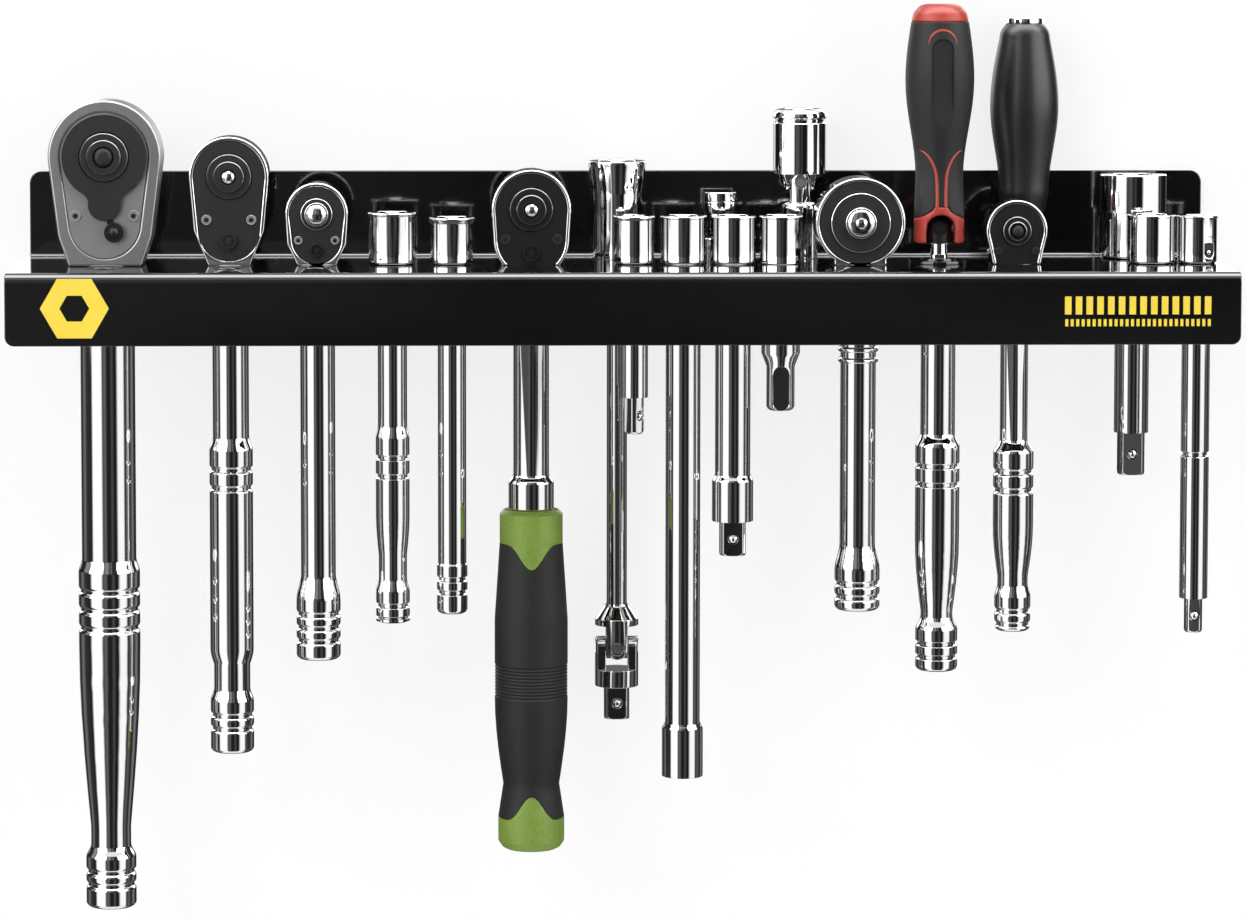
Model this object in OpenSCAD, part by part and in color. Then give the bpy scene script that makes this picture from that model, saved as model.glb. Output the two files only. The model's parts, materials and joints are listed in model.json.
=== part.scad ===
// A wall rack of bent sheet steel, stocked with ratchets, extension bars and driver handles.
// Millimetres. The origin is on the wall, midway between the two wall screws.
// +X runs along the rack, +Z is up and the rack faces -Y. Each tool hangs from its head in a hole of the shelf.

/* [Rack] */
// Depth of the shelf, from the wall to the front of the lip
shelf_d = 88.9; // [80:0.1:110]
// Thickness of the sheet
sheet_t = 2; // [1.5:0.1:2.5]
// Height of the back plate above the shelf
back_h = 32.5; // [28:0.5:40]
// Height of the lip, from the top of the shelf to its lower edge
lip_h = 26.5; // [20:0.2:34]
// Inside radius of both bends
bend_r = 1.5; // [1:0.1:2]
// How far each end of the back plate stands in from the end of the shelf
back_inset = 1.5; // [0.5:0.1:4]
// Radius of the upper corners of the back plate
back_corner_r = 4.5; // [1:0.5:10]
// Radius of the lower corners of the lip
lip_corner_r = 3.4; // [1:0.2:8]
// Distance between the two wall screws
screw_spacing = 406.4; // [380:0.1:420]
// Height of the wall screws above the shelf
screw_rise = 17; // [14:0.5:22]
// Diameter of a wall-screw hole
screw_hole_d = 5.5; // [4:0.1:7]
// Distance of the front row of tools from the wall
front_row = 43.5; // [42:0.5:45]
// Distance of the rear row of tools from the wall
rear_row = 16; // [15.5:0.1:16.5]
// Length of the keyhole, from its narrow end to its wide end
keyhole_run = 24; // [22:0.5:24.5]
// Distance of the spare holes in front of the three ratchets from the wall
spare_row = 66; // [64:0.5:70]
// Diameter of a spare hole
spare_d = 9.5; // [8:0.1:11]

/* [Fits] */
// Room on each side of a tool in its hole
pass_gap = 0.5; // [0.3:0.05:0.6]
// Room on each side of a pin or a hub that turns
turn_gap = 0.25; // [0.2:0.05:0.35]
// Room between two faces that slide or turn past each other
face_gap = 0.3; // [0.2:0.05:0.4]
// Room around a part that is fixed in its seat
seat_gap = 0.1; // [0.05:0.05:0.2]

/* [Row spacing] */
// From the left end of the rack to the large ratchet
left_room = 13; // [8:0.05:20]
// Large ratchet to medium ratchet
gap_large = 10.1; // [8:0.1:14]
// Medium ratchet to small ratchet
gap_medium = 6; // [5:0.1:9]
// Small ratchet to shaped bar
gap_small = 6.8; // [5:0.1:9]
// Shaped bar to plain bar
gap_shaped = 4; // [3:0.1:6]
// Plain bar to grip ratchet
gap_plain = 6; // [4:0.1:9]
// Grip ratchet to short extension
gap_grip = 15.6; // [12:0.1:20]
// Short extension to long socket bar
gap_short = 1.7; // [1:0.1:5]
// Long socket bar to medium extension
gap_long = 1.3; // [1:0.1:4]
// Medium extension to stub extension
gap_bar = 1; // [1:0.1:4]
// Stub extension to round ratchet
gap_stub = 4.1; // [3:0.1:8]
// Round ratchet to red driver
gap_round = 0.4; // [0.4:0.1:3]
// Red driver to short ratchet
gap_red = 4.3; // [2:0.1:6]
// Short ratchet to plain socket
gap_midget = 30.6; // [25:0.1:36]
// Plain socket to slim extension
gap_socket = 0.4; // [0.4:0.1:3]
// From the slim extension to the right end of the rack
right_room = 1.65; // [1:0.05:12]
// Swivel bar, to the left of the middle of the rack
swivel_left = 0.3; // [0:0.1:3]
// Locking extension, to the right of the middle
lock_right = 38.8; // [34:0.1:40]
// Universal joint, to the right of the middle
joint_right = 68.8; // [66:0.1:70]
// Black driver, to the right of the middle
black_right = 153.7; // [151:0.1:157]
// Large adapter, to the right of the middle
adapter_right = 195.3; // [190:0.1:200]

/* [Drives and grooves] */
// Width of a quarter-inch drive square
quarter_sq = 6.35; // [6:0.05:6.7]
// Width of a three-eighths drive square
three_eighths_sq = 9.525; // [9:0.025:10]
// Width of a half-inch drive square
half_sq = 12.7; // [12:0.1:13.2]
// How much wider a square hole is than its drive square
square_play = 0.3; // [0.2:0.05:0.5]
// How much is turned off each corner of a drive square
corner_cut = 0.8; // [0.4:0.1:1.2]
// Bevel at the end of a drive square and at the mouth of a square hole
square_bevel = 0.9; // [0.4:0.1:1.4]
// Diameter of a detent ball
ball_d = 3.6; // [2.8:0.1:4]
// How far a detent ball stands out of its square
ball_proud = 0.8; // [0.5:0.1:1.2]
// Width of a turned groove
groove_w = 2; // [1.2:0.1:2.4]
// Depth of a turned groove
groove_depth = 0.8; // [0.4:0.1:1]
// Rounded edge at the end of a handle
end_edge = 1.5; // [0.8:0.1:2]
// Rounded edge at the top of a socket
rim_edge = 0.3; // [0.2:0.1:0.5]
// Height of the thin lip of a socket
rim_h = 0.8; // [0.6:0.1:1.2]
// Depth of a drive hole in the top of a bar
mouth_depth = 11; // [9:0.5:13]

/* [Ratchet heads] */
// Thickness of a cover plate
cover_t = 1.6; // [1.2:0.1:2]
// Bright rim left round a cover plate
rim_w = 1.7; // [1.2:0.1:2.4]
// Wall round the gear pocket
head_wall = 3.4; // [3:0.1:4]
// Wall behind the gear pocket
rear_wall = 3; // [2.4:0.1:3.6]
// How far the disc of a drive stands out of its cover
disc_proud = 1; // [0.6:0.1:1.6]
// How far the boss of a drive stands out of its disc
boss_proud = 1.6; // [1:0.1:2.4]
// How far a release button stands out of its boss
button_proud = 1.6; // [1.2:0.1:2.4]
// Length of a release button
button_l = 9; // [7:0.5:10]
// Travel of a release button
button_travel = 1.2; // [0.8:0.1:1.4]
// Height of a screw head on its cover
screw_head_h = 0.7; // [0.5:0.1:1]
// Diameter of a cover screw's shank
screw_shank_d = 1.8; // [1.4:0.1:2]
// Length of a cover screw under its head
screw_l = 4.4; // [3.5:0.1:5]
// Width of the hexagonal socket in a screw head, across its corners
screw_socket_w = 1.7; // [1.2:0.1:2]
// Thickness of a selector dial or lever
dial_t = 1.4; // [1:0.1:2]
// Diameter of the pin under a selector
dial_pin_d = 2.4; // [2:0.1:2.8]
// Length of that pin inside the head
dial_pin_l = 4; // [3:0.1:5]
// Width of the raised rim of a dial
dial_rim = 0.5; // [0.4:0.1:0.7]
// Width of the pointer under a dial
dial_tab_w = 1.2; // [0.8:0.1:1.6]
// Length of that pointer
dial_tab_l = 1; // [0.6:0.1:1.1]

/* [Large ratchet] */
// Radius of the round of the head
large_head_r = 20.85; // [20:0.05:21.5]
// Height of the drive above the shelf
large_hub_z = 40.5; // [38:0.5:43]
// Width of the head at its shoulder
large_shoulder_w = 34.6; // [33:0.1:36]
// Height of that shoulder
large_shoulder_z = 11; // [9:0.5:13]
// Width of the head where it stands on the shelf
large_base_w = 27; // [26:0.1:29]
// Thickness of the head
large_t = 21.5; // [21:0.1:23]
// Radius of the round of the cover plate
large_cover_r = 16.2; // [15.9:0.1:16.8]
// Radius of the lower end of the cover plate
large_low_r = 13; // [12.8:0.1:13.4]
// Height of the middle of that lower end
large_low_z = 16; // [15.4:0.1:16.6]
// Radius of the dark face plate
large_face_r = 15.7; // [15:0.1:15.9]
// Thickness of the face plate
large_face_t = 2; // [1.8:0.1:2.4]
// Radius of the lobe at the foot of the face plate
large_lobe_r = 6; // [5.4:0.1:6.4]
// Height of the middle of the lobe
large_lobe_z = 22.9; // [22:0.1:23.4]
// Radius of the hollow fillets between round and lobe
large_fillet_r = 4; // [3:0.1:5]
// Radius of the drive's disc
large_disc_r = 9; // [8:0.1:10]
// Radius of the drive's boss
large_boss_r = 6.5; // [5.8:0.1:7.2]
// Radius of the release button
large_button_r = 3.4; // [2.6:0.1:4]
// Radius of the neck behind the gear
large_neck_r = 9.2; // [8.8:0.1:10]
// Length of the drive square
large_square_l = 15; // [12:0.5:16]
// Sideways place of the two screws
large_screw_x = 10.7; // [10:0.1:11.5]
// Height of the two screws
large_screw_z = 18.7; // [17:0.1:20]
// Radius of a screw head
large_screw_r = 2.1; // [1.6:0.1:2.3]
// Width of the lever's arm
lever_w = 2.4; // [2:0.1:3]
// Thickness of the lever's arm
lever_t = 0.7; // [0.5:0.1:0.8]
// Radius of the round at the lever's end
lever_end_r = 3.6; // [3.2:0.1:4]
// Thickness of that round
lever_end_t = 2.2; // [2.2:0.1:2.8]
// Sideways place of the lever's end
lever_end_x = 3.5; // [2.5:0.1:4]
// Height of the lever's end
lever_end_z = 12.6; // [12:0.1:13.2]
// Diameter of the ball on the lever
lever_ball_d = 4.2; // [3.6:0.1:4.4]
// Diameter of the shaft
large_shaft_d = 20.3; // [19:0.1:21]
// Length of the shaft
large_shaft_l = 110; // [100:1:118]
// Largest diameter of the grip
large_grip_d = 22.9; // [21.5:0.1:23.4]
// Length of the straight part of the grip
large_grip_l = 27; // [25:0.5:32]
// Length of the tapered part of the grip
large_taper_l = 69; // [60:1:78]
// Diameter of the waist
large_waist_d = 15; // [13.5:0.1:16.5]
// Length of the waist
large_waist_l = 7; // [4:0.5:10]
// Diameter of the pommel
large_pommel_d = 18.8; // [17:0.1:20.5]
// Length of the pommel
large_pommel_l = 18.5; // [16:0.5:22]

/* [Medium ratchet] */
// Radius of the round of the head
medium_head_r = 14.75; // [14.2:0.05:15.5]
// Height of the drive above the shelf
medium_hub_z = 33; // [31:0.5:35]
// Width of the head at its shoulder
medium_shoulder_w = 26; // [25:0.1:27]
// Height of that shoulder
medium_shoulder_z = 13; // [11:0.5:15]
// Width of the head where it stands on the shelf
medium_base_w = 15.5; // [14:0.1:18]
// Radius of the lower end of the cover plate
medium_low_r = 11.2; // [10.8:0.1:11.6]
// Height of the middle of that lower end
medium_low_z = 13; // [12.6:0.1:13.6]
// Thickness of the head
medium_t = 16; // [15:0.1:17]
// Radius of the drive's disc
medium_disc_r = 8.4; // [7.8:0.1:9]
// Radius of the drive's boss
medium_boss_r = 5.8; // [5.2:0.1:6.4]
// Radius of the release button
medium_button_r = 2.4; // [2:0.1:2.8]
// Radius of the neck behind the gear
medium_neck_r = 7; // [6.7:0.1:7.4]
// Length of the drive square
medium_square_l = 10.5; // [9:0.5:12]
// Sideways place of the two screws
medium_screw_x = 8.3; // [7.8:0.1:8.8]
// Height of the two screws
medium_screw_z = 17; // [16:0.1:18]
// Radius of a screw head
medium_screw_r = 1.9; // [1.5:0.1:2]
// Height of the selector
medium_dial_z = 9.2; // [8:0.1:10]
// Radius of the selector
medium_dial_r = 2.8; // [2.4:0.1:3.2]
// Diameter of the shaft
medium_shaft_d = 13.5; // [12.5:0.1:14.5]
// Length of the shaft
medium_shaft_l = 64.5; // [60:0.5:70]
// Diameter of the grip
medium_grip_d = 16.2; // [15.2:0.1:16.8]
// Length of the straight part of the grip
medium_grip_l = 74.5; // [70:0.5:80]
// Length of the step below the grip
medium_taper_l = 6; // [4:0.5:9]
// Diameter of the waist
medium_waist_d = 13.5; // [12.5:0.1:14.5]
// Length of the waist
medium_waist_l = 9; // [6:0.5:12]
// Diameter of the pommel
medium_pommel_d = 16.2; // [15.2:0.1:16.8]
// Length of the pommel
medium_pommel_l = 19; // [16:0.5:22]

/* [Small ratchet] */
// Radius of the round of the head
small_head_r = 11.65; // [11.2:0.05:12]
// Height of the drive above the shelf
small_hub_z = 19; // [18:0.1:20]
// Width of the head at its shoulder
small_shoulder_w = 22; // [21:0.1:22.6]
// Height of that shoulder
small_shoulder_z = 8; // [7:0.1:9]
// Width of the head where it stands on the shelf
small_base_w = 14.5; // [13.6:0.1:17]
// Radius of the lower end of the cover plate
small_low_r = 8.9; // [8.6:0.1:9.2]
// Height of the middle of that lower end
small_low_z = 9.6; // [9.3:0.1:10]
// Thickness of the head
small_t = 14; // [13.6:0.1:15]
// Radius of the drive's disc
small_disc_r = 5.9; // [5.6:0.1:6.2]
// Radius of the drive's boss
small_boss_r = 4.4; // [3.8:0.1:4.8]
// Radius of the neck behind the gear
small_neck_r = 5; // [4.7:0.1:5.3]
// Length of the drive square
small_square_l = 7.5; // [6.5:0.5:8.5]
// Sideways place of the two screws
small_screw_x = 6.8; // [6.5:0.1:7]
// Height of the two screws
small_screw_z = 9.3; // [8.8:0.1:9.8]
// Radius of a screw head
small_screw_r = 1.6; // [1.3:0.1:1.7]
// Height of the selector
small_dial_z = 5.7; // [5.3:0.1:6.2]
// Radius of the selector
small_dial_r = 2.3; // [2:0.1:2.5]
// Diameter of the shaft
small_shaft_d = 13; // [12:0.1:13.4]
// Length of the shaft
small_shaft_l = 116; // [108:0.5:126]
// Diameter of the pommel
small_pommel_d = 16.5; // [15.5:0.1:17]
// Length of the pommel
small_pommel_l = 22; // [20:0.5:26]

/* [Shaped and plain bars] */
// Diameter of the shaped bar's socket
shaped_head_d = 17.6; // [17:0.1:18.2]
// Diameter of its rim
shaped_rim_d = 18.8; // [18.3:0.1:19.4]
// Height of its socket above the shelf
shaped_head_h = 19.4; // [18:0.1:21]
// Diameter of its shaft
shaped_shaft_d = 10.9; // [10:0.1:11.6]
// Length of its shaft
shaped_shaft_l = 60.2; // [56:0.2:66]
// Diameter of its grip
shaped_grip_d = 12.6; // [12:0.1:13.4]
// Length of the straight part of its grip
shaped_grip_l = 28; // [24:0.5:32]
// Length of the tapered part of its grip
shaped_taper_l = 16; // [12:0.5:20]
// Diameter of its waist
shaped_waist_d = 10.5; // [9.6:0.1:11]
// Length of its waist
shaped_waist_l = 8.6; // [6:0.2:12]
// Diameter of its pommel
shaped_pommel_d = 12.6; // [12:0.1:13.4]
// Length of its pommel
shaped_pommel_l = 11.5; // [10:0.5:14]
// Diameter of the plain bar's socket
plain_head_d = 15.8; // [15.2:0.1:16.4]
// Diameter of its rim
plain_rim_d = 17.6; // [17:0.1:18]
// Height of its socket above the shelf
plain_head_h = 17.5; // [16:0.1:19]
// Diameter of its shaft
plain_shaft_d = 10.6; // [10:0.1:11.2]
// Length of its shaft
plain_shaft_l = 112; // [105:0.5:118]
// Diameter of its end sleeve
plain_end_d = 11.4; // [11.3:0.1:12]
// Length of its end sleeve
plain_end_l = 18; // [15:0.5:22]

/* [Grip ratchet] */
// Radius of the round of the head
grip_head_r = 14.75; // [14.2:0.05:15.5]
// Height of the drive above the shelf
grip_hub_z = 20.7; // [20:0.1:22]
// Radius of the lower end of the head
grip_low_r = 14; // [13.6:0.1:14.4]
// Height of the middle of that lower end
grip_low_z = 9.3; // [8.8:0.1:9.8]
// Thickness of the head
grip_t = 16; // [15:0.1:17]
// Radius of the drive's disc
grip_disc_r = 8.1; // [7.6:0.1:8.6]
// Radius of the drive's boss
grip_boss_r = 5.6; // [5:0.1:6.2]
// Radius of the release button
grip_button_r = 2.4; // [2:0.1:2.8]
// Sideways place of the two screws
grip_screw_x = 9.6; // [9:0.1:10]
// Height of the two screws
grip_screw_z = 9.6; // [9:0.1:10]
// Radius of a screw head
grip_screw_r = 1.9; // [1.5:0.1:2]
// Height of the selector
grip_dial_z = 4.6; // [4.2:0.1:5]
// Radius of the selector
grip_dial_r = 3; // [2.6:0.1:3.2]
// Diameter of the shaft
grip_shaft_d = 13.3; // [12.4:0.1:14]
// Length of the shaft
grip_shaft_l = 78.8; // [74:0.2:84]
// Diameter of the ferrule
ferrule_d = 16.9; // [16:0.1:18]
// Length of the ferrule
ferrule_l = 10.7; // [8:0.1:13]
// Diameter of the tang inside the grip
tang_d = 9; // [8:0.1:10]
// Length of the tang
tang_l = 110; // [90:1:115]
// Diameter of the grip's top collar
collar_d = 23.6; // [22.6:0.1:24.4]
// Length of that collar
collar_l = 12.5; // [10:0.1:15]
// Length of the black sleeve
sleeve_l = 103.5; // [98:0.5:108]
// Diameter of the sleeve at its belly
sleeve_belly_d = 27.4; // [26.4:0.1:28]
// Diameter of the sleeve at its neck
sleeve_neck_d = 21; // [20:0.1:22]
// Diameter of the grip's end cap
cap_d = 24.8; // [23.8:0.1:25.6]
// Length of the end cap
cap_l = 12; // [10:0.1:15]
// Diameter of the core inside the sleeve
core_d = 16; // [14.5:0.1:17]
// Width of the two bell-shaped tongues that run from collar and cap over the sleeve
tongue_w = 18; // [15:0.1:20]
// Length of the upper tongue
tongue_l = 9; // [7:0.1:11]
// Number of ribs round the belly
rib_count = 10; // [6:1:12]
// Distance from one rib to the next
rib_pitch = 1.25; // [1:0.05:1.5]
// Depth of the ribs
rib_depth = 0.45; // [0.3:0.05:0.6]

/* [Swivel bar] */
// Diameter of its socket
swivel_head_d = 21.8; // [21:0.1:22.6]
// Height of its socket above the shelf
swivel_head_h = 37; // [34:0.5:40]
// Diameter of the body under its socket
swivel_body_d = 18.8; // [18.4:0.1:20]
// Height of that body
swivel_body_h = 24.5; // [22:0.5:25]
// Length of the cone between body and socket
swivel_cone_l = 10.8; // [8:0.1:11]
// Diameter of its shaft
swivel_shaft_d = 7.7; // [7:0.1:8.6]
// Length of its shaft
swivel_shaft_l = 131.4; // [124:0.2:138]
// Diameter of its swivel
swivel_d = 16.5; // [15.8:0.1:17.2]
// Height of the flare above the swivel
swivel_flare_l = 8.4; // [7:0.1:10]
// Distance from the fork's root to its pins
swivel_reach = 8.4; // [8.2:0.1:9.2]
// Diameter of its pins
swivel_pin_d = 4; // [3.6:0.1:4.4]
// Thickness of the tip's body
swivel_tip_l = 6.5; // [4:0.1:8]
// Length of its drive square
swivel_square_l = 12.5; // [11:0.1:14]

/* [Universal joint] */
// Diameter of its base
joint_base_d = 14; // [13.5:0.1:14.6]
// Height of its base above the shelf
joint_base_h = 21.6; // [20:0.1:23]
// Distance from a fork's root to the pins
joint_reach = 7.4; // [7.2:0.1:8]
// Diameter of its pins
joint_pin_d = 3.8; // [3.4:0.1:4]
// Rounded shoulder of its base
joint_edge = 2.4; // [1.5:0.1:3]
// Diameter of its cup
cup_d = 20.1; // [19.5:0.1:20.8]
// Height of the cup's lower edge above the pins
cup_drop = 3; // [2.6:0.1:4]
// Wall of the skirt round the cup's root
cup_skirt = 1.4; // [1:0.1:1.6]
// Diameter of the cup's fork at its foot
cup_foot_d = 9.4; // [9:0.1:10]
// Length of the cup
cup_l = 24.6; // [22:0.1:27]
// Rounded edge at the top of the cup
cup_edge = 2.6; // [1.5:0.1:2.8]
// Distance from the top of the cup to its groove
cup_groove = 4.4; // [4:0.1:6]
// Length of the drive square under the base
joint_square_l = 16; // [12:0.5:20]

/* [Extension bars] */
// Diameter of the short extension's socket
short_head_d = 15; // [14.4:0.1:15.5]
// Diameter of its rim
short_rim_d = 16; // [15.6:0.1:16.4]
// Diameter of its shaft
short_shaft_d = 10.5; // [9.8:0.1:11]
// Length of its shaft
short_shaft_l = 50; // [46:0.5:54]
// Length of its drive square
short_square_l = 13.7; // [12:0.1:15]
// Diameter of the long socket bar's socket
long_head_d = 16.8; // [16.6:0.1:17]
// Diameter of its rim
long_rim_d = 17.4; // [17.1:0.1:17.9]
// Diameter of its shaft
long_shaft_d = 13; // [12:0.1:13.6]
// Length of its shaft
long_shaft_l = 172.4; // [165:0.2:180]
// Diameter of its lower end
long_end_d = 15.4; // [15:0.1:15.5]
// Length of its lower end
long_end_l = 18; // [15:0.5:21]
// Diameter of the medium extension's socket
bar_head_d = 16.8; // [16.6:0.1:17]
// Diameter of its rim
bar_rim_d = 17.2; // [17.1:0.1:17.7]
// Diameter of its shaft
bar_shaft_d = 13.2; // [12.2:0.1:13.8]
// Length of its shaft
bar_shaft_l = 79; // [74:0.5:84]
// Diameter of its collar
bar_collar_d = 15.4; // [14.8:0.1:15.5]
// Length of its collar
bar_collar_l = 15; // [12:0.1:18]
// Length of its drive square
bar_square_l = 12.8; // [11:0.1:14]
// Diameter of the stub extension's socket
stub_head_d = 15.8; // [15.7:0.1:16]
// Diameter of its rim
stub_rim_d = 16.4; // [16.1:0.1:16.8]
// Diameter of its body under the shelf
stub_body_d = 14.4; // [13.8:0.1:14.5]
// Length of its body
stub_body_l = 33.4; // [30:0.1:37]
// Diameter of its tongue
stub_tongue_d = 10.5; // [9.8:0.1:11]
// Length of its tongue
stub_tongue_l = 16.5; // [14:0.1:20]
// Width of the flat in its tongue
stub_flat_w = 6; // [5:0.1:7]
// Diameter of the slim extension's socket
slim_head_d = 14.9; // [14.4:0.1:15.1]
// Diameter of its rim
slim_rim_d = 15.5; // [15.2:0.1:16]
// Diameter of its shaft
slim_shaft_d = 10.5; // [9.8:0.1:11]
// Length of its shaft
slim_shaft_l = 126; // [120:0.5:132]
// Depth of the ring groove in its shaft, below the shelf
slim_ring_z = 71.6; // [66:0.2:77]
// Length of its drive square
slim_square_l = 12.9; // [11:0.1:14]
// Width of the oblong recess in its socket
window_w = 4.4; // [4:0.1:5]
// Height of that recess
window_h = 8; // [7:0.1:9]
// Depth of that recess
window_depth = 0.8; // [0.5:0.1:1]
// How far round from the front that recess lies, in degrees
window_turn = 30; // [0:1:40]
// Height of the sockets of these bars above the shelf
bar_head_h = 18; // [16:0.1:20]

/* [Locking extension, adapter and socket] */
// Diameter of the locking extension's foot
lock_foot_d = 15; // [14:0.1:16]
// Height of its foot
lock_foot_h = 8; // [6:0.1:10]
// Diameter of its neck
lock_neck_d = 10.4; // [9.8:0.1:10.8]
// Height of its neck above the shelf
lock_neck_h = 25.2; // [24:0.1:27]
// Diameter of its stem under the shelf
lock_stem_d = 9; // [8:0.1:10]
// Length of its stem
lock_stem_l = 26; // [22:0.5:28]
// Diameter of the locking collar
lock_collar_d = 12.7; // [12:0.1:13.4]
// Length of the locking collar
lock_collar_l = 4; // [3.6:0.1:5]
// Travel of the locking collar
lock_travel = 4; // [3:0.1:5]
// Thickness of the stop ring above it
lock_stop_t = 3.4; // [3:0.1:3.8]
// Diameter of the large adapter's upper body
adapter_head_d = 25.3; // [24.4:0.1:26]
// Height of that body's top above the shelf
adapter_head_h = 31.7; // [30:0.1:34]
// Diameter of its lower body
adapter_body_d = 23.5; // [22.6:0.1:24]
// Height of its lower body
adapter_body_h = 17.5; // [15:0.1:20]
// Diameter of its shaft
adapter_shaft_d = 13; // [12:0.1:14]
// Length of its shaft
adapter_shaft_l = 66.5; // [62:0.5:72]
// Length of its drive square
adapter_square_l = 16; // [14:0.1:18]
// Diameter of the plain socket
socket_d = 17.9; // [17.2:0.1:18.4]
// Height of the plain socket above the shelf
socket_h = 18.2; // [17:0.1:20]
// Diameter of its stem under the shelf
socket_stem_d = 12; // [11:0.1:13]
// Length of its stem
socket_stem_l = 20; // [16:0.5:24]

/* [Round ratchet] */
// Radius of the head
round_head_r = 16.7; // [16:0.05:17]
// Height of the middle of the head
round_hub_z = 15.7; // [15:0.1:16.2]
// Width of the head where it stands on the shelf
round_base_w = 19.5; // [19:0.1:21]
// Height of the block under the round
round_base_h = 7; // [5:0.1:9]
// Thickness of the head
round_t = 18; // [17:0.1:19]
// Radius of the drive's disc
round_disc_r = 11.1; // [10.4:0.1:11.6]
// Radius of the drive's boss
round_boss_r = 5.8; // [5.2:0.1:6.4]
// Radius of the release button
round_button_r = 2.5; // [2.1:0.1:2.9]
// Diameter of the shaft
round_shaft_d = 13.2; // [12.4:0.1:14]
// Length of the shaft
round_shaft_l = 105; // [98:0.5:112]
// Diameter of the two bands on the shaft
round_band_d = 15; // [14.4:0.1:15.6]
// Depth of the first band below the shelf
round_band_z = 31; // [30:0.5:34]
// Diameter of the pommel
round_pommel_d = 16.9; // [16:0.1:17.2]
// Length of the pommel
round_pommel_l = 15; // [13:0.5:18]

/* [Red driver and its socket handle] */
// Diameter of the flange of the handle that it stands in
flange_d = 19.6; // [19:0.1:20.4]
// Height of that flange above the shelf
flange_h = 1.2; // [1:0.1:2]
// Diameter of the handle's shaft
stand_shaft_d = 12.9; // [12:0.1:13.8]
// Length of its shaft
stand_shaft_l = 63.6; // [58:0.2:69]
// Diameter of its grip
stand_grip_d = 16.5; // [15.6:0.1:17]
// Length of the straight part of its grip
stand_grip_l = 35; // [30:0.5:40]
// Length of the tapered part of its grip
stand_taper_l = 27; // [23:0.5:32]
// Diameter of its waist
stand_waist_d = 11.9; // [11:0.1:13]
// Length of its waist
stand_waist_l = 2; // [1:0.5:5]
// Diameter of its pommel
stand_pommel_d = 15.7; // [14.8:0.1:16.4]
// Length of its pommel
stand_pommel_l = 15.3; // [13:0.1:18]
// Height of the driver's knuckle pin above the shelf
knuckle_z = 13.1; // [12.6:0.1:14]
// Width of the knuckle
knuckle_w = 10.1; // [9.4:0.1:10.6]
// Distance from the knuckle pin to the foot of the knuckle
knuckle_r = 5.6; // [5.2:0.1:6]
// Radius of the round spot on the front of the knuckle
lock_spot_r = 2.5; // [2:0.1:2.8]
// Depth of that spot
lock_spot_depth = 0.8; // [0.5:0.1:0.9]
// Radius of the lock button in that spot
lock_button_r = 1.6; // [1.2:0.1:1.8]
// Diameter of the knuckle pin
knuckle_pin_d = 4; // [3.6:0.1:4.4]
// Width of the red fork
fork_w = 18.8; // [18:0.1:19.6]
// Distance from the knuckle pin to the shoulders of the fork
fork_shoulder = 3.7; // [3:0.1:4.5]
// Width of the red bridge where it meets the sleeve
bridge_w = 5.4; // [4.5:0.1:6.5]
// Distance from the knuckle pin to the top of the red bridge
bridge_top = 8.4; // [8:0.1:9]
// Diameter of the sleeve at its waist
red_waist_d = 17.7; // [17:0.1:18.6]
// Distance from the knuckle pin to the waist
red_waist_z = 19; // [17:0.5:21]
// Diameter of the sleeve at its belly
red_belly_d = 25.6; // [24.6:0.1:26.4]
// Distance from the knuckle pin to the belly
red_belly_z = 55.5; // [52:0.5:59]
// Diameter of the sleeve at its top
red_top_d = 21.4; // [20.4:0.1:22.4]
// Distance from the knuckle pin to the top of the sleeve
red_top_z = 77; // [74:0.5:80]
// Height of the red cap
red_cap_h = 6.5; // [5.5:0.1:8]
// Diameter of the red core inside the sleeve
red_core_d = 12; // [11:0.1:13]
// Width of the oblong recess in the front of the sleeve
label_w = 8; // [7:0.1:9]
// Length of that recess
label_l = 40; // [36:0.5:44]
// Depth of that recess
label_depth = 0.8; // [0.5:0.1:1]

/* [Black driver] */
// Diameter of the bolster that stands on the shelf
bolster_d = 13; // [12.4:0.1:13.8]
// Height of the bolster
bolster_h = 13; // [12:0.1:14]
// Diameter of the shank
shank_d = 8; // [7.4:0.1:8.6]
// Length of the shank under the shelf
shank_l = 24; // [20:0.5:26]
// Diameter of the grip at its neck
black_neck_d = 18.7; // [17.8:0.1:19.6]
// Height of the neck above the shelf
black_neck_z = 25.5; // [23:0.1:28]
// Diameter of the grip at its belly
black_belly_d = 25.7; // [24.8:0.1:26.2]
// Height of the belly above the shelf
black_belly_z = 57.8; // [54:0.1:62]
// Diameter of the grip near its top
black_top_d = 19; // [18:0.1:20]
// Height of the top of the grip above the shelf
black_top_z = 88.7; // [86:0.1:92]
// Diameter of the steel cap on the grip
steel_cap_d = 13.5; // [12.5:0.1:14.5]
// Height of that cap
steel_cap_h = 2.2; // [1.6:0.1:3]

/* [Short ratchet] */
// Radius of the round of the head
midget_head_r = 11.4; // [11.2:0.05:11.45]
// Height of the drive above the shelf
midget_hub_z = 12.5; // [12.2:0.1:13]
// Width of the head at its shoulder
midget_shoulder_w = 20.4; // [20.1:0.1:21]
// Height of that shoulder
midget_shoulder_z = 6.4; // [6:0.1:6.6]
// Width of the head where it stands on the shelf
midget_base_w = 17.8; // [17.4:0.1:18.6]
// Thickness of the head
midget_t = 13; // [12.4:0.1:14]
// Radius of the drive's disc
midget_disc_r = 5.4; // [5:0.1:5.6]
// Radius of the drive's boss
midget_boss_r = 3.6; // [3.3:0.1:4]
// Radius of the release button
midget_button_r = 2.2; // [1.8:0.1:2.6]
// Sideways place of the two screws
midget_screw_x = 6.9; // [6.7:0.1:7.1]
// Height of the two screws
midget_screw_z = 5; // [4.7:0.1:5.3]
// Radius of a screw head
midget_screw_r = 1.4; // [1.2:0.1:1.5]
// Diameter of the shaft
midget_shaft_d = 10.3; // [9.6:0.1:11]
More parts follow.
